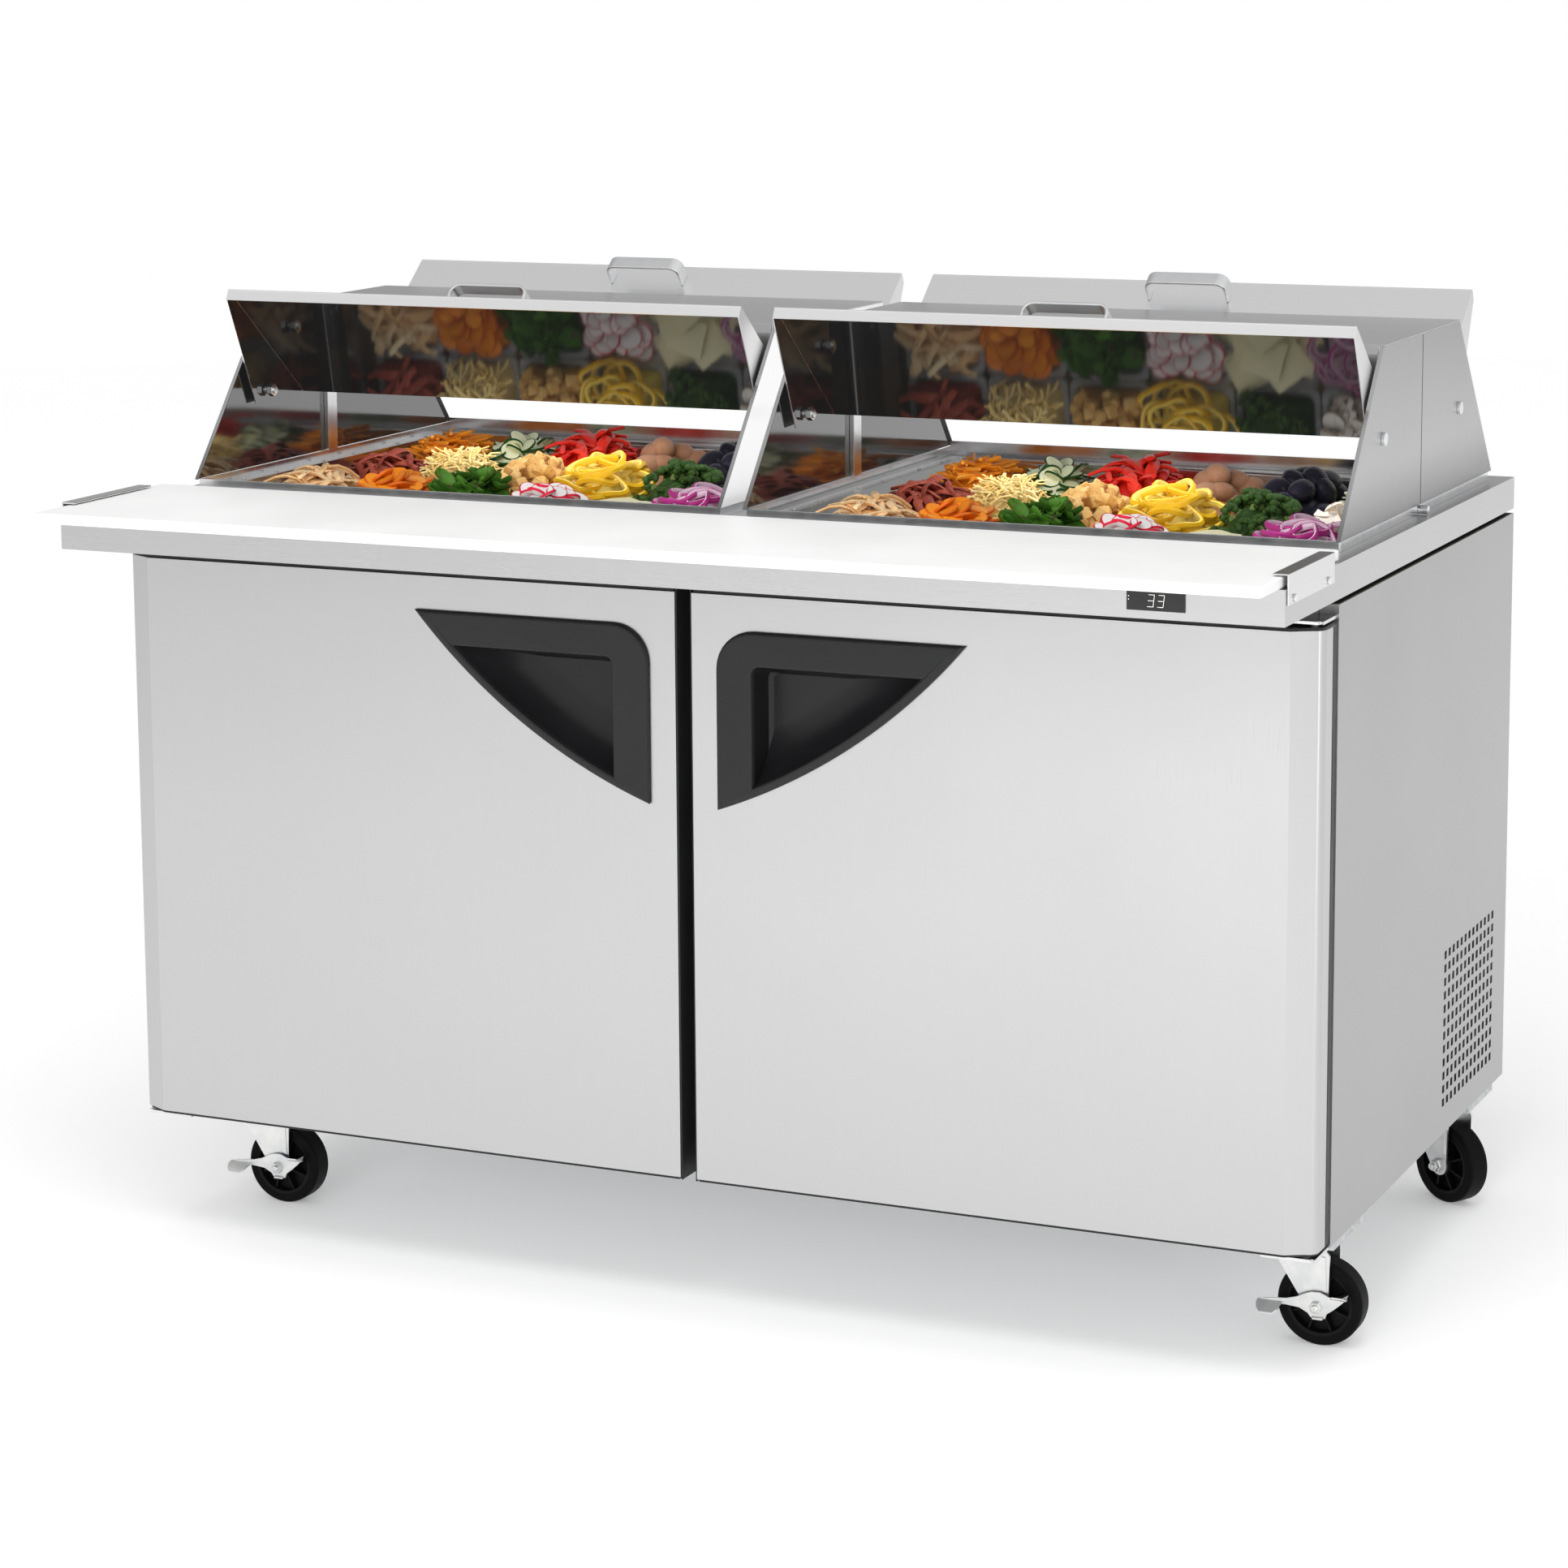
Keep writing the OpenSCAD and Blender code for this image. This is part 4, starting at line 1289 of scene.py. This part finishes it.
@dataclass
class Heap:
    """One pan's food: a domed bed under a scatter of items."""

    name: str
    item: Callable[[Morsel], None]
    count: int
    dome: float
    tilt: float
    size: float
    finish: Food
    edge: float = -6.0
    half_x: float = 43.0
    half_y: float = 76.0
    columns: int = 5
    underside: float = -70.0

    def height(self, u: float, v: float) -> float:
        """Height of the bed over the pan's rim.

        Args:
            u: Place across the pan, -1 to 1.
            v: Place along the pan, -1 to 1.

        Returns:
            The height in millimetres.
        """
        crown = max(0.0, 1 - abs(u) ** 2.6) * max(0.0, 1 - abs(v) ** 2.6)
        return self.edge + (self.dome - self.edge) * crown ** 0.7

    def mesh(self, seed: int) -> Shape:
        """Makes the bed and scatters the items.

        Args:
            seed: Seed of the scatter.

        Returns:
            The food, centred on its pan with the rim at 0.
        """
        rng = random.Random(seed)
        shape = Shape()
        # Painted shade: the bed under the items takes a low tint, so it shows the food's darker tone in the gaps
        # between them.
        shape.tint = 0.1
        self.bed(shape, seed)
        for i in range(self.count):
            u = ((i % self.columns) + rng.uniform(0.1, 0.9)) / self.columns * 2 - 1
            v = (i / self.count) * 2 - 1 + rng.uniform(-0.12, 0.12)
            u, v = max(-0.93, min(0.93, u * 0.92)), max(-0.95, min(0.95, v * 0.92))
            pitch, bank = (math.radians(rng.uniform(-self.tilt, self.tilt)) for _ in range(2))
            lean = Euler((pitch, bank, rng.uniform(0, math.tau))).to_matrix().to_4x4()
            lift = self.height(u, v) + rng.uniform(-1.5, 4.5)
            shape.tint = rng.random()
            place = Matrix.Translation((u * self.half_x, v * self.half_y, lift)) @ lean
            self.item(Morsel(shape, rng, place @ Matrix.Scale(self.size * rng.uniform(0.88, 1.12), 4)))
        return shape

    def bed(self, shape: Shape, seed: int) -> None:
        """A lumpy dome that closes below.

        Args:
            shape: The mesh that takes it.
            seed: Offset of the lumps.
        """
        nx, ny, fill = 10, 16, 0.985
        rings = []
        for j in range(ny + 1):
            v = (j / ny * 2 - 1) * fill
            top = []
            for i in range(nx + 1):
                u = (i / nx * 2 - 1) * fill
                lump = noise.noise(Vector((u * 2.2, v * 3.4, seed * 1.7))) * 4
                top.append((u * self.half_x, v * self.half_y, self.height(u, v) - 4 + lump))
            low = [(x, y, self.underside) for x, y, _ in reversed(top)]
            rings.append(top + low)
        shape.loft(rings)


MENU: tuple[tuple[Heap, ...], ...] = (
    (
        Heap("chicken_strips", Morsel.strip, 44, 52, 22, 1.35, Food(
            "food_chicken", (0.9, 0.5, 0.2), (0.97, 0.8, 0.52), (0.5, 0.18, 0.05),
            (0.28, 0.08, 0.02), 0.75, 90.0,
        )),
        Heap("carrot_slices", Morsel.coin, 54, 54, 30, 1.2, Food(
            "food_carrot_slices", (0.96, 0.27, 0.012), (0.98, 0.36, 0.03), (0.74, 0.15, 0.008),
        )),
        Heap("mixed_leaves", Morsel.leaf, 56, 52, 40, 1.15, Food(
            "food_leaves", (0.03, 0.11, 0.01), (0.1, 0.26, 0.03), (0.02, 0.07, 0.01),
            (0.09, 0.012, 0.04), 0.7, 30.0,
        )),
        Heap("radish_slices", Morsel.coin, 46, 48, 34, 1.2, Food(
            "food_radish", (0.95, 0.92, 0.9), (0.97, 0.95, 0.93), (0.72, 0.012, 0.05),
        )),
        Heap("cheese_slices", Morsel.slab, 16, 36, 7, 1.0, Food(
            "food_cheese", (0.92, 0.86, 0.5), (0.95, 0.9, 0.62), (0.8, 0.7, 0.36), scale=40.0, relief=0.1,
        )),
        Heap("onion_rings", Morsel.hoop, 24, 50, 24, 1.2, Food(
            "food_red_onion", (0.95, 0.78, 0.88), (0.9, 0.6, 0.78), (0.5, 0.04, 0.26),
            scale=60.0, relief=0.2,
        )),
    ),
    (
        Heap("ham_strips", Morsel.strip, 50, 50, 22, 1.3, Food(
            "food_ham", (0.2, 0.022, 0.014), (0.36, 0.07, 0.04), (0.2, 0.025, 0.015),
            (0.7, 0.45, 0.33), 0.3,
        )),
        Heap("slaw", Morsel.shred, 240, 58, 40, 1.35, Food(
            "food_slaw", (0.95, 0.84, 0.45), (0.93, 0.66, 0.2), (0.86, 0.36, 0.08),
        )),
        Heap("croutons", Morsel.cube, 70, 56, 80, 1.1, Food(
            "food_croutons", (0.7, 0.38, 0.1), (0.82, 0.54, 0.2), (0.36, 0.14, 0.03),
            (0.34, 0.12, 0.025), 0.6,
        )),
        Heap("yellow_pepper_rings", Morsel.hoop, 30, 60, 22, 1.5, Food(
            "food_yellow_pepper", (0.95, 0.72, 0.12), (0.97, 0.8, 0.25), (0.95, 0.56, 0.02),
            scale=50.0, roughness=0.3, relief=0.15,
        )),
        Heap("broccoli", Morsel.floret, 26, 54, 24, 1.25, Food(
            "food_broccoli", (0.02, 0.06, 0.01), (0.055, 0.125, 0.022), (0.32, 0.45, 0.14),
            scale=420.0, relief=0.9,
        )),
        Heap("mushroom_slices", Morsel.cap_slice, 50, 50, 55, 1.35, Food(
            "food_mushroom", (0.88, 0.82, 0.72), (0.94, 0.9, 0.83), (0.5, 0.38, 0.26),
        )),
    ),
    (
        Heap("carrot_sticks", Morsel.stick, 120, 58, 20, 1.1, Food(
            "food_carrot_sticks", (0.95, 0.28, 0.012), (0.98, 0.38, 0.03), (0.74, 0.17, 0.008),
        )),
        Heap("cucumber_slices", Morsel.coin, 48, 60, 40, 1.2, Food(
            "food_cucumber", (0.8, 0.86, 0.5), (0.9, 0.92, 0.66), (0.012, 0.075, 0.01),
        )),
        Heap("red_pepper_strips", Morsel.strip, 46, 64, 34, 1.6, Food(
            "food_red_pepper", (0.85, 0.022, 0.014), (0.92, 0.05, 0.025), (0.68, 0.008, 0.008),
            scale=50.0, roughness=0.28, relief=0.15,
        )),
        Heap("brown_eggs", Morsel.egg, 14, 56, 30, 1.25, Food(
            "food_eggs", (0.5, 0.24, 0.13), (0.62, 0.32, 0.19), (0.45, 0.2, 0.1),
            (0.3, 0.12, 0.06), 0.4, relief=0.08,
        )),
        Heap("dark_plums", Morsel.plum, 18, 58, 60, 1.2, Food(
            "food_plums", (0.012, 0.012, 0.02), (0.03, 0.026, 0.045), (0.01, 0.01, 0.012),
            scale=60.0, roughness=0.28, relief=0.08,
        )),
        Heap("cabbage_shreds", Morsel.shred, 240, 56, 40, 1.35, Food(
            "food_cabbage", (0.84, 0.88, 0.55), (0.93, 0.94, 0.72), (0.5, 0.2, 0.4),
        )),
    ),
)


@dataclass
class Kitchen:
    """Puts the same eighteen foods in both wells."""

    wells: PanWells
    body: str = "cabinet"

    def build(self) -> None:
        """Makes each food once and lays it in its two pans."""
        w = self.wells
        reach = 6 * w.pitch_x
        for j, row in enumerate(MENU):
            for i, heap in enumerate(row):
                mesh = None
                for side, lr in SIDES:
                    start = w.first_x if side > 0 else -w.first_x - reach
                    spot = Vector((start + (i + 0.5) * w.pitch_x, w.middle_y + (j - 1) * w.pitch_y, w.rim_z)) * MM
                    if mesh is None:
                        shape = heap.mesh(100 + 10 * j + i)
                        obj = shape.piece(f"{heap.name}_{lr}", self.body, None, [heap.finish], (), 45.0, False)
                        mesh = obj.data
                    else:
                        obj = bpy.data.objects.new(f"{heap.name}_{lr}", mesh)
                        bpy.context.scene.collection.objects.link(obj)
                        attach(obj, self.body)
                    obj.location = spot


# ---- Doors ----


@dataclass
class Pull:
    """Recessed door pull: grained bezel and a scooped cup behind it."""

    side: int
    lr: str
    face_y: float = -321.0
    proud: float = 7.0
    cup: float = 36.0
    bow: float = 732.0

    def outline(self, inset: float, x_in: float = 0.0, z_in: float = 0.0) -> list[Pair]:
        """Outline of the pull on the right-hand door.

        Args:
            inset: Distance in from the outer edge.
            x_in: Left limit, if it is further in than the outline.
            z_in: How far the top limit is below the outline's top.

        Returns:
            Points from the top right, over the corner, down and back along the curve.
        """
        x0, x1 = 44 + inset, 350 - 3.4 * inset
        z1, z0 = 823 - inset, 613 + 2.2 * inset
        a, b = Vector((x1, z1 - 4)), Vector((x0 + 8, z0))
        run = (a - b).normalized()
        radius = self.bow - inset
        centre = (a + b) / 2 + Vector((-run.y, run.x)) * math.sqrt(radius ** 2 - ((a - b).length / 2) ** 2)
        left, top, r = max(x0, x_in), z1 - z_in, (46 - inset if not x_in else 10.0)
        end_top = centre.x + math.sqrt(radius ** 2 - (top - centre.y) ** 2)
        end_left = centre.y - math.sqrt(radius ** 2 - (left - centre.x) ** 2)
        a0 = math.degrees(math.atan2(end_left - centre.y, left - centre.x))
        a1 = math.degrees(math.atan2(top - centre.y, end_top - centre.x))
        return arc(left + r, top - r, r, 90, 180, 8) + arc(centre.x, centre.y, radius, a0, a1, 22)

    def build(self, body: str) -> None:
        """Makes the bezel and the cup.

        Args:
            body: The door's body.
        """
        y = self.face_y
        front = y - self.proud
        hole = (90.0, 34.0)
        rings = (
            (2.0, None, y - 0.1), (0.0, None, y - 1.5), (0.0, None, front + 3.4), (0.8, None, front + 1.5),
            (2.6, None, front + 0.3), (4.6, None, front),
            (4.6, (hole[0] - 3.2, hole[1] - 1.0), front), (5.6, (hole[0] - 1.0, hole[1] + 0.6), front + 0.9),
            (6.2, (hole[0], hole[1]), front + 3.0), (6.6, (hole[0] + 1.0, hole[1]), y - 1.0),
            (9.0, (hole[0] + 1.0, hole[1] - 1.0), y + 6), (16.0, (hole[0] + 2.0, hole[1] - 4.0), y + self.cup - 14),
            (26.0, (hole[0] + 4.0, hole[1] - 10.0), y + self.cup - 4),
            (40.0, (hole[0] + 10.0, hole[1] - 20.0), y + self.cup),
        )
        shape = Shape()
        points = []
        for inset, limit, depth in rings:
            flat = self.outline(inset, *(limit or ()))
            points.append([(self.side * u, depth, v) for u, v in flat])
        bezel, cup = points[:10], points[9:]
        shape.loft(bezel, caps=False, slot=0)
        shape.loft(cup, caps=False, slot=1)
        last = [shape.bm.verts.new(p) for p in cup[-1]]
        shape.bm.faces.new(last).material_index = 1
        rear = self.outline(4.5)
        back = [[(self.side * u, d, v) for u, v in rear] for d in (y - 0.1, y + self.cup + 4)]
        shape.loft(back, caps=False, slot=1)
        rim = [shape.bm.verts.new(p) for p in back[-1]]
        shape.bm.faces.new(rim).material_index = 1
        bmesh.ops.remove_doubles(shape.bm, verts=shape.bm.verts, dist=0.01)
        node = f"door_handle_{self.lr}"
        shape.piece(f"door_pull_{self.lr}", body, "black_plastic", [PULL_BLACK, CUP_BLACK], (node,), 35.0)


@dataclass
class Door:
    """Steel door: skin, liner, gasket, strips and pull."""

    side: int
    lr: str
    hinge_x: float = 765.0
    edge_y: Pair = (-273.0, -263.0)
    edge_z: Pair = (160.5, 863.5)

    def build(self) -> None:
        """Makes the skin, the strips and the pull."""
        body = f"door_{self.lr[0]}"
        skin = Shape.of_node(f"door_skin_{self.lr}").soften(0.7, 2, 18.0)
        node = f"door_skin_{self.lr}"
        skin.piece(f"{node}_folded", body, "stainless", [DOOR_STEEL], (node,), 30.0)
        trim = Shape.of_node(f"door_trim_{self.lr}").soften(0.4)
        x, (y0, y1), (z0, z1) = self.side * self.hinge_x, self.edge_y, self.edge_z
        edge = [(y0, z0), (y1, z0), (y1, z1), (y0, z1)]
        trim.prism(edge, Axis.X, x - self.side * 1.0, x + self.side * 0.4)
        node = f"door_trim_{self.lr}"
        trim.piece(f"{node}_edged", body, "black_plastic", [TRIM_BLACK], (node,))
        refine(f"door_gasket_{self.lr}", body, "gasket", [GASKET_GREY], 2.0, 3)
        Pull(self.side, self.lr).build(body)

    def dress(self) -> None:
        """Finishes the moulded liner."""
        dress(f"door_core_{self.lr}", LINER_WHITE)


# ---- Casters ----


@dataclass
class Caster:
    """Swivel caster: fork, ribbed wheel and, at the front, a brake pedal."""

    number: int
    x: float
    y: float
    heading: float
    braked: bool
    trail: float = 32.0
    wheel_r: float = 50.8
    head_z: float = 116.5

    def turned(self) -> Matrix:
        """From the caster's own frame to the table's."""
        return Matrix.Translation((self.x, self.y, 0)) @ Matrix.Rotation(math.radians(self.heading), 4, "Z")

    def build(self) -> None:
        """Makes the parts of this caster."""
        self.fork()
        self.wheel()
        if self.braked:
            self.pedal()

    def on_axle(self, shape: Shape, profile: Sequence[Pair], steps: int, side: int = 1, slot: int = 0) -> None:
        """Turns a profile round the axle.

        Args:
            shape: The mesh that takes it.
            profile: Points as radius and distance from the wheel's middle.
            steps: Steps in a turn.
            side: 1 or -1, the side that the distances are on.
            slot: Material index.
        """
        points = [(radius, side * along) for radius, along in profile]
        shape.lathe(points, Axis.Y, (self.trail, 0, self.wheel_r), steps, slot)

    def make(
        self, shape: Shape, name: str, body: str, slot: str, node: str, finishes: Sequence[Finish],
        smooth: float = 35.0, round_by: float = 0.0,
    ) -> None:
        """Turns a shape to the caster's heading and makes it a piece.

        Args:
            shape: The shape in the caster's own frame.
            name: The piece's name, without the number.
            body: The body's name, without the number.
            slot: Its material slot.
            node: The CAD node's name, without the number.
            finishes: Finishes by material index.
            smooth: Edges sharper than this many degrees stay sharp.
            round_by: Width that its edges are rounded by.
        """
        shape.bm.transform(self.turned())
        if round_by:
            shape.soften(round_by)
        k = self.number
        shape.piece(f"{name}_{k}", f"{body}_{k}", slot, finishes, (f"{node}_{k}",), smooth)

    def fork(self) -> None:
        """Swivel head and two tapering legs with a pressed panel, and the axle bolt with its nuts."""
        z, t, r, shape = self.head_z, self.trail, self.wheel_r, Shape()
        head = [(6, z), (29, z), (30, z + 1), (30, z + 6), (28.6, z + 7), (6, z + 7)]
        cap = [(0.4, z + 6.9), (6, z + 6.9), (6, z + 12.4), (5.4, z + 13), (0.4, z + 13)]
        shape.lathe(head, Axis.Z, (0, 0, 0), 36)
        shape.lathe(cap, Axis.Z, (0, 0, 0), 20)
        for s in (-1, 1):
            outer = [(-25, z + 0.1), (t + 9, z + 0.1), (t + 14, z - 6)] + arc(t, r, 13.5, 20, -150, 12)
            shape.prism(outer + [(-12, z - 22), (-22, z - 6)], Axis.Y, s * 20.0, s * 23.0)
            panel = [(t - 16, z - 7), (t + 9, z - 7), (t + 11, r + 17), (t - 11, r + 17)]
            shape.prism(panel, Axis.Y, s * 22.9, s * 24.6)
            self.on_axle(shape, [(0.4, 23.1), (9.0, 23.1), (9.0, 28.0), (8.0, 29.4), (0.4, 29.4)], 6, s)
            self.on_axle(shape, [(0.4, 29.3), (7.6, 29.3), (7.6, 33.0), (6.6, 34.0), (0.4, 34.0)], 6, s)
            self.on_axle(shape, [(0.4, 33.9), (4.4, 33.9), (4.4, 37.0), (3.4, 37.8), (0.4, 38.0)], 16, s)
        self.on_axle(shape, [(0.4, -23), (5, -23), (5, 23), (0.4, 23)], 16)
        self.make(shape, "caster_fork_shaped", "caster", "zinc", "caster_fork", [ZINC], round_by=0.7)

    def wheel(self) -> None:
        """Tread with rounded shoulders, rim ring, ribs and hub."""
        r, shape = self.wheel_r, Shape()
        tread = arc(r - 5, -11, 5, -90, 0, 5) + arc(r - 5, 11, 5, 0, 90, 5)
        rim = [(35.5, -15.0), (39.2, -15.8), (39.2, 15.8), (35.5, 15.0), (34.5, 4), (34.5, -4)]
        hub = [(5.1, -18.5), (13, -18.5), (14, -17.5), (15, -4), (15, 4), (14, 17.5), (13, 18.5), (5.1, 18.5)]
        self.on_axle(shape, [(39, -15.4), *tread, (39, 15.4)], 72)
        self.on_axle(shape, rim, 60, slot=1)
        self.on_axle(shape, [(12, -4), (35, -4), (35, 4), (12, 4)], 48, slot=1)
        self.on_axle(shape, hub, 36, slot=1)
        for k in range(8):
            turn = Matrix.Translation((self.trail, 0, r)) @ Matrix.Rotation(math.tau * (k + 0.5) / 8, 4, "Y")
            for s in (-1, 1):
                rings = []
                for x, top in ((13.5, 16.0), (35.2, 12.5)):
                    rings.append([(x, s * y, z) for y, z in ((3.8, -1.7), (top, -1.3), (top, 1.3), (3.8, 1.7))])
                shape.loft(rings, slot=1, matrix=turn)
        blacks = [TYRE_BLACK, HUB_BLACK]
        self.make(shape, "caster_wheel_ribbed", "wheel", "wheel_rubber", "caster_wheel", blacks, 32.0)

    def pedal(self) -> None:
        """Two-lobed pedal of pressed plate with three turned toes."""
        shape, wr, sheet = Shape(), self.wheel_r, 2.2
        top = [
            (-38, 0), (-30, 3.5), (-16, 5), (-3, 6.5), (9, 10), (18, 14.5), (26, 17.5), (36, 18), (45, 14.5),
            (54, 12), (63, 14.5), (70, 19),
        ]
        low = [
            (68, 13), (61, 6), (53, -1), (45, -7), (43, -13), (26, -13), (22, -8), (12, -3), (-4, -1.5),
            (-20, -2.5), (-34, -4),
        ]
        shape.prism([(x, wr + z) for x, z in top + low], Axis.Y, -29.5, -27.1)
        toes = (
            ((-38, -8, -0.5), ((-27.2, 0, 0), (-33, -0.6, 0), (-39, -2.6, 1), (-43.5, -5.8, 3), (-46.5, -9.5, 7))),
            ((50, 69, 11.5), ((-27.2, 0, 0), (-32, 0.4, 0), (-36.5, 1.8, 1), (-40.5, 4.4, 3))),
            ((27, 42, -13.0), ((-27.2, 0, 0), (-31, 0, 0.5), (-33.5, -0.8, 1.5))),
        )
        for (x0, x1, z0), levels in toes:
            rings = []
            for y, d, k in levels:
                z = wr + z0 + d
                rings.append([(x0 + k, y, z), (x1 - k, y, z), (x1 - k, y, z + sheet), (x0 + k, y, z + sheet)])
            shape.loft(rings)
        self.make(shape, "brake_pedal_pressed", "pedal", "zinc", "brake_pedal", [ZINC], round_by=0.5)


# ---- Studio ----


@dataclass
class Studio:
    """Pale floor, soft light, near-white surroundings and the camera."""

    azimuth: float = 0.429518
    pitch: float = 0.152425
    roll: float = -0.008184
    eye: Point = (2.023465, -4.561589, 1.617283)
    lens: float = 94.25
    shift: Pair = (0.0243, -0.14)
    bright_side: Point = (0.72, -0.69, 0.0)
    dim: float = 0.4
    bright: float = 1.1

    def camera(self) -> None:
        """Puts the camera at the viewing angle."""
        az, pi, ro = self.azimuth, self.pitch, self.roll
        ahead = Vector((-math.sin(az) * math.cos(pi), math.cos(az) * math.cos(pi), -math.sin(pi)))
        right = Vector((math.cos(az), math.sin(az), 0))
        up = right.cross(ahead)
        right, up = right * math.cos(ro) + up * math.sin(ro), up * math.cos(ro) - right * math.sin(ro)
        data = bpy.data.cameras.new("studio_camera")
        data.lens, data.sensor_width = self.lens, 36.0
        data.shift_x, data.shift_y = self.shift
        data.clip_start, data.clip_end = 0.1, 100.0
        cam = bpy.data.objects.new("studio_camera", data)
        turn = Matrix((right, up, -ahead)).transposed().to_4x4()
        cam.matrix_world = Matrix.Translation(self.eye) @ turn
        bpy.context.scene.collection.objects.link(cam)
        bpy.context.scene.camera = cam

    def floor(self) -> None:
        """A wide pale floor with rounded edges."""
        bm = bmesh.new()
        steps = 64
        rings = []
        for radius, z in ((9.0, 0.0), (11.0, 0.0), (11.4, -0.05)):
            rings.append([bm.verts.new((radius * x, radius * y, z)) for x, y in ellipse(1, 1, steps)])
        for low, high in zip(rings, rings[1:]):
            for k in range(steps):
                bm.faces.new((low[k], low[(k + 1) % steps], high[(k + 1) % steps], high[k]))
        bm.faces.new(rings[0])
        mesh = bpy.data.meshes.new("studio_floor")
        bm.to_mesh(mesh)
        bm.free()
        s = Shader.named("studio_floor")
        cloud = s.noise(0.8, 2.0)
        away = s.node("ShaderNodeVectorMath", {"operation": "LENGTH"}, {0: s.place()})
        far = Wire(s, away.outputs["Value"]).between(1.4, 4.0)
        mesh.materials.append(s.surface(
            Base_Color=s.mix((0.88, 0.88, 0.88), (0.9, 0.9, 0.9), cloud),
            Roughness=cloud * 0.05 + 0.7,
            Emission_Color=s.mix((0.2, 0.2, 0.2), (0.33, 0.33, 0.33), far),
            Emission_Strength=1.0,
        ))
        obj = bpy.data.objects.new("studio_floor", mesh)
        bpy.context.scene.collection.objects.link(obj)

    def lamp(self, name: str, spot: Point, aim: Point, size: Pair, power: float, mirrored: bool = False) -> None:
        """One soft panel.

        Args:
            name: The lamp's name.
            spot: Where it is.
            aim: What it faces.
            size: Width and height in metres.
            power: Watts.
            mirrored: Whether polished parts show it.
        """
        data = bpy.data.lights.new(name, "AREA")
        data.shape, data.size, data.size_y, data.energy = "RECTANGLE", *size, power
        lamp = bpy.data.objects.new(name, data)
        lamp.location = spot
        lamp.visible_glossy = mirrored
        lamp.rotation_euler = (Vector(aim) - Vector(spot)).to_track_quat("-Z", "Y").to_euler()
        bpy.context.scene.collection.objects.link(lamp)

    def surroundings(self) -> None:
        """Surroundings that are white behind the table and darker in its reflections."""
        s = Shader(bpy.data.worlds.new("studio_world"))
        spot = Wire(s, s.node("ShaderNodeTexCoord").outputs["Generated"])
        toward = s.node("ShaderNodeVectorMath", {"operation": "DOT_PRODUCT"}, {0: spot, 1: self.bright_side})
        limits = {0: Wire(s, toward.outputs["Value"]), 1: -1.0, 2: 1.0, 3: self.dim, 4: self.bright}
        tone = Wire(s, s.node("ShaderNodeMapRange", {}, limits).outputs[0])
        behind = Wire(s, s.node("ShaderNodeLightPath").outputs["Is Camera Ray"])
        pick = Wire(s, s.node("ShaderNodeMix", {"data_type": "FLOAT"}, {0: behind, 2: tone, 3: 1.0}).outputs[0])
        glow = s.node("ShaderNodeBackground", {}, {0: (1.0, 1.0, 1.0), 1: pick})
        s.node("ShaderNodeOutputWorld", {}, {0: Wire(s, glow.outputs[0])})
        bpy.context.scene.world = s.owner

    def build(self) -> None:
        """Sets up the whole studio."""
        bpy.context.scene.view_settings.view_transform = "Standard"
        self.camera()
        self.floor()
        self.surroundings()
        self.lamp("soft_top", (0.3, -1.4, 3.8), (0.1, 0.0, 0.8), (3.0, 2.0), 60)
        self.lamp("soft_front", (0.3, -4.9, 1.5), (0.1, 0, 0.95), (2.8, 1.6), 110)
        for side, lr in SIDES:
            x, y, z = side * 0.38, 0.149, 1.135
            self.lamp(f"hood_light_{lr}", (x, y, z), (x, y - 0.001, 0.9), (0.62, 0.26), 1.75)
        self.lamp("edge_strip", (4.2, -2.6, 1.0), (0.7, -0.2, 0.6), (0.9, 2.0), 15, True)


CASTERS = (
    Caster(1, -692, -138, 0, True), Caster(2, 692, -138, 0, True),
    Caster(3, -692, 463, 180, False), Caster(4, 692, 463, -30, False),
)


def main() -> None:
    """Builds every sub-assembly in order."""
    logging.basicConfig(level=logging.INFO, format="%(message)s")
    Studio().build()
    cabinet, counter, wells = Cabinet(), Counter(), PanWells()
    for part in (cabinet, counter):
        part.build()
        part.dress()
    Hoods().build()
    wells.build()
    Kitchen(wells).build()
    for side, lr in SIDES:
        door = Door(side, lr)
        door.build()
        door.dress()
    refine("door_hinges", "cabinet", "bracket_steel", [BRACKET_STEEL], 0.5)
    refine("caster_plates", "cabinet", "zinc", [ZINC], 0.5)
    for caster in CASTERS:
        caster.build()


if __name__ == "__main__":
    main()
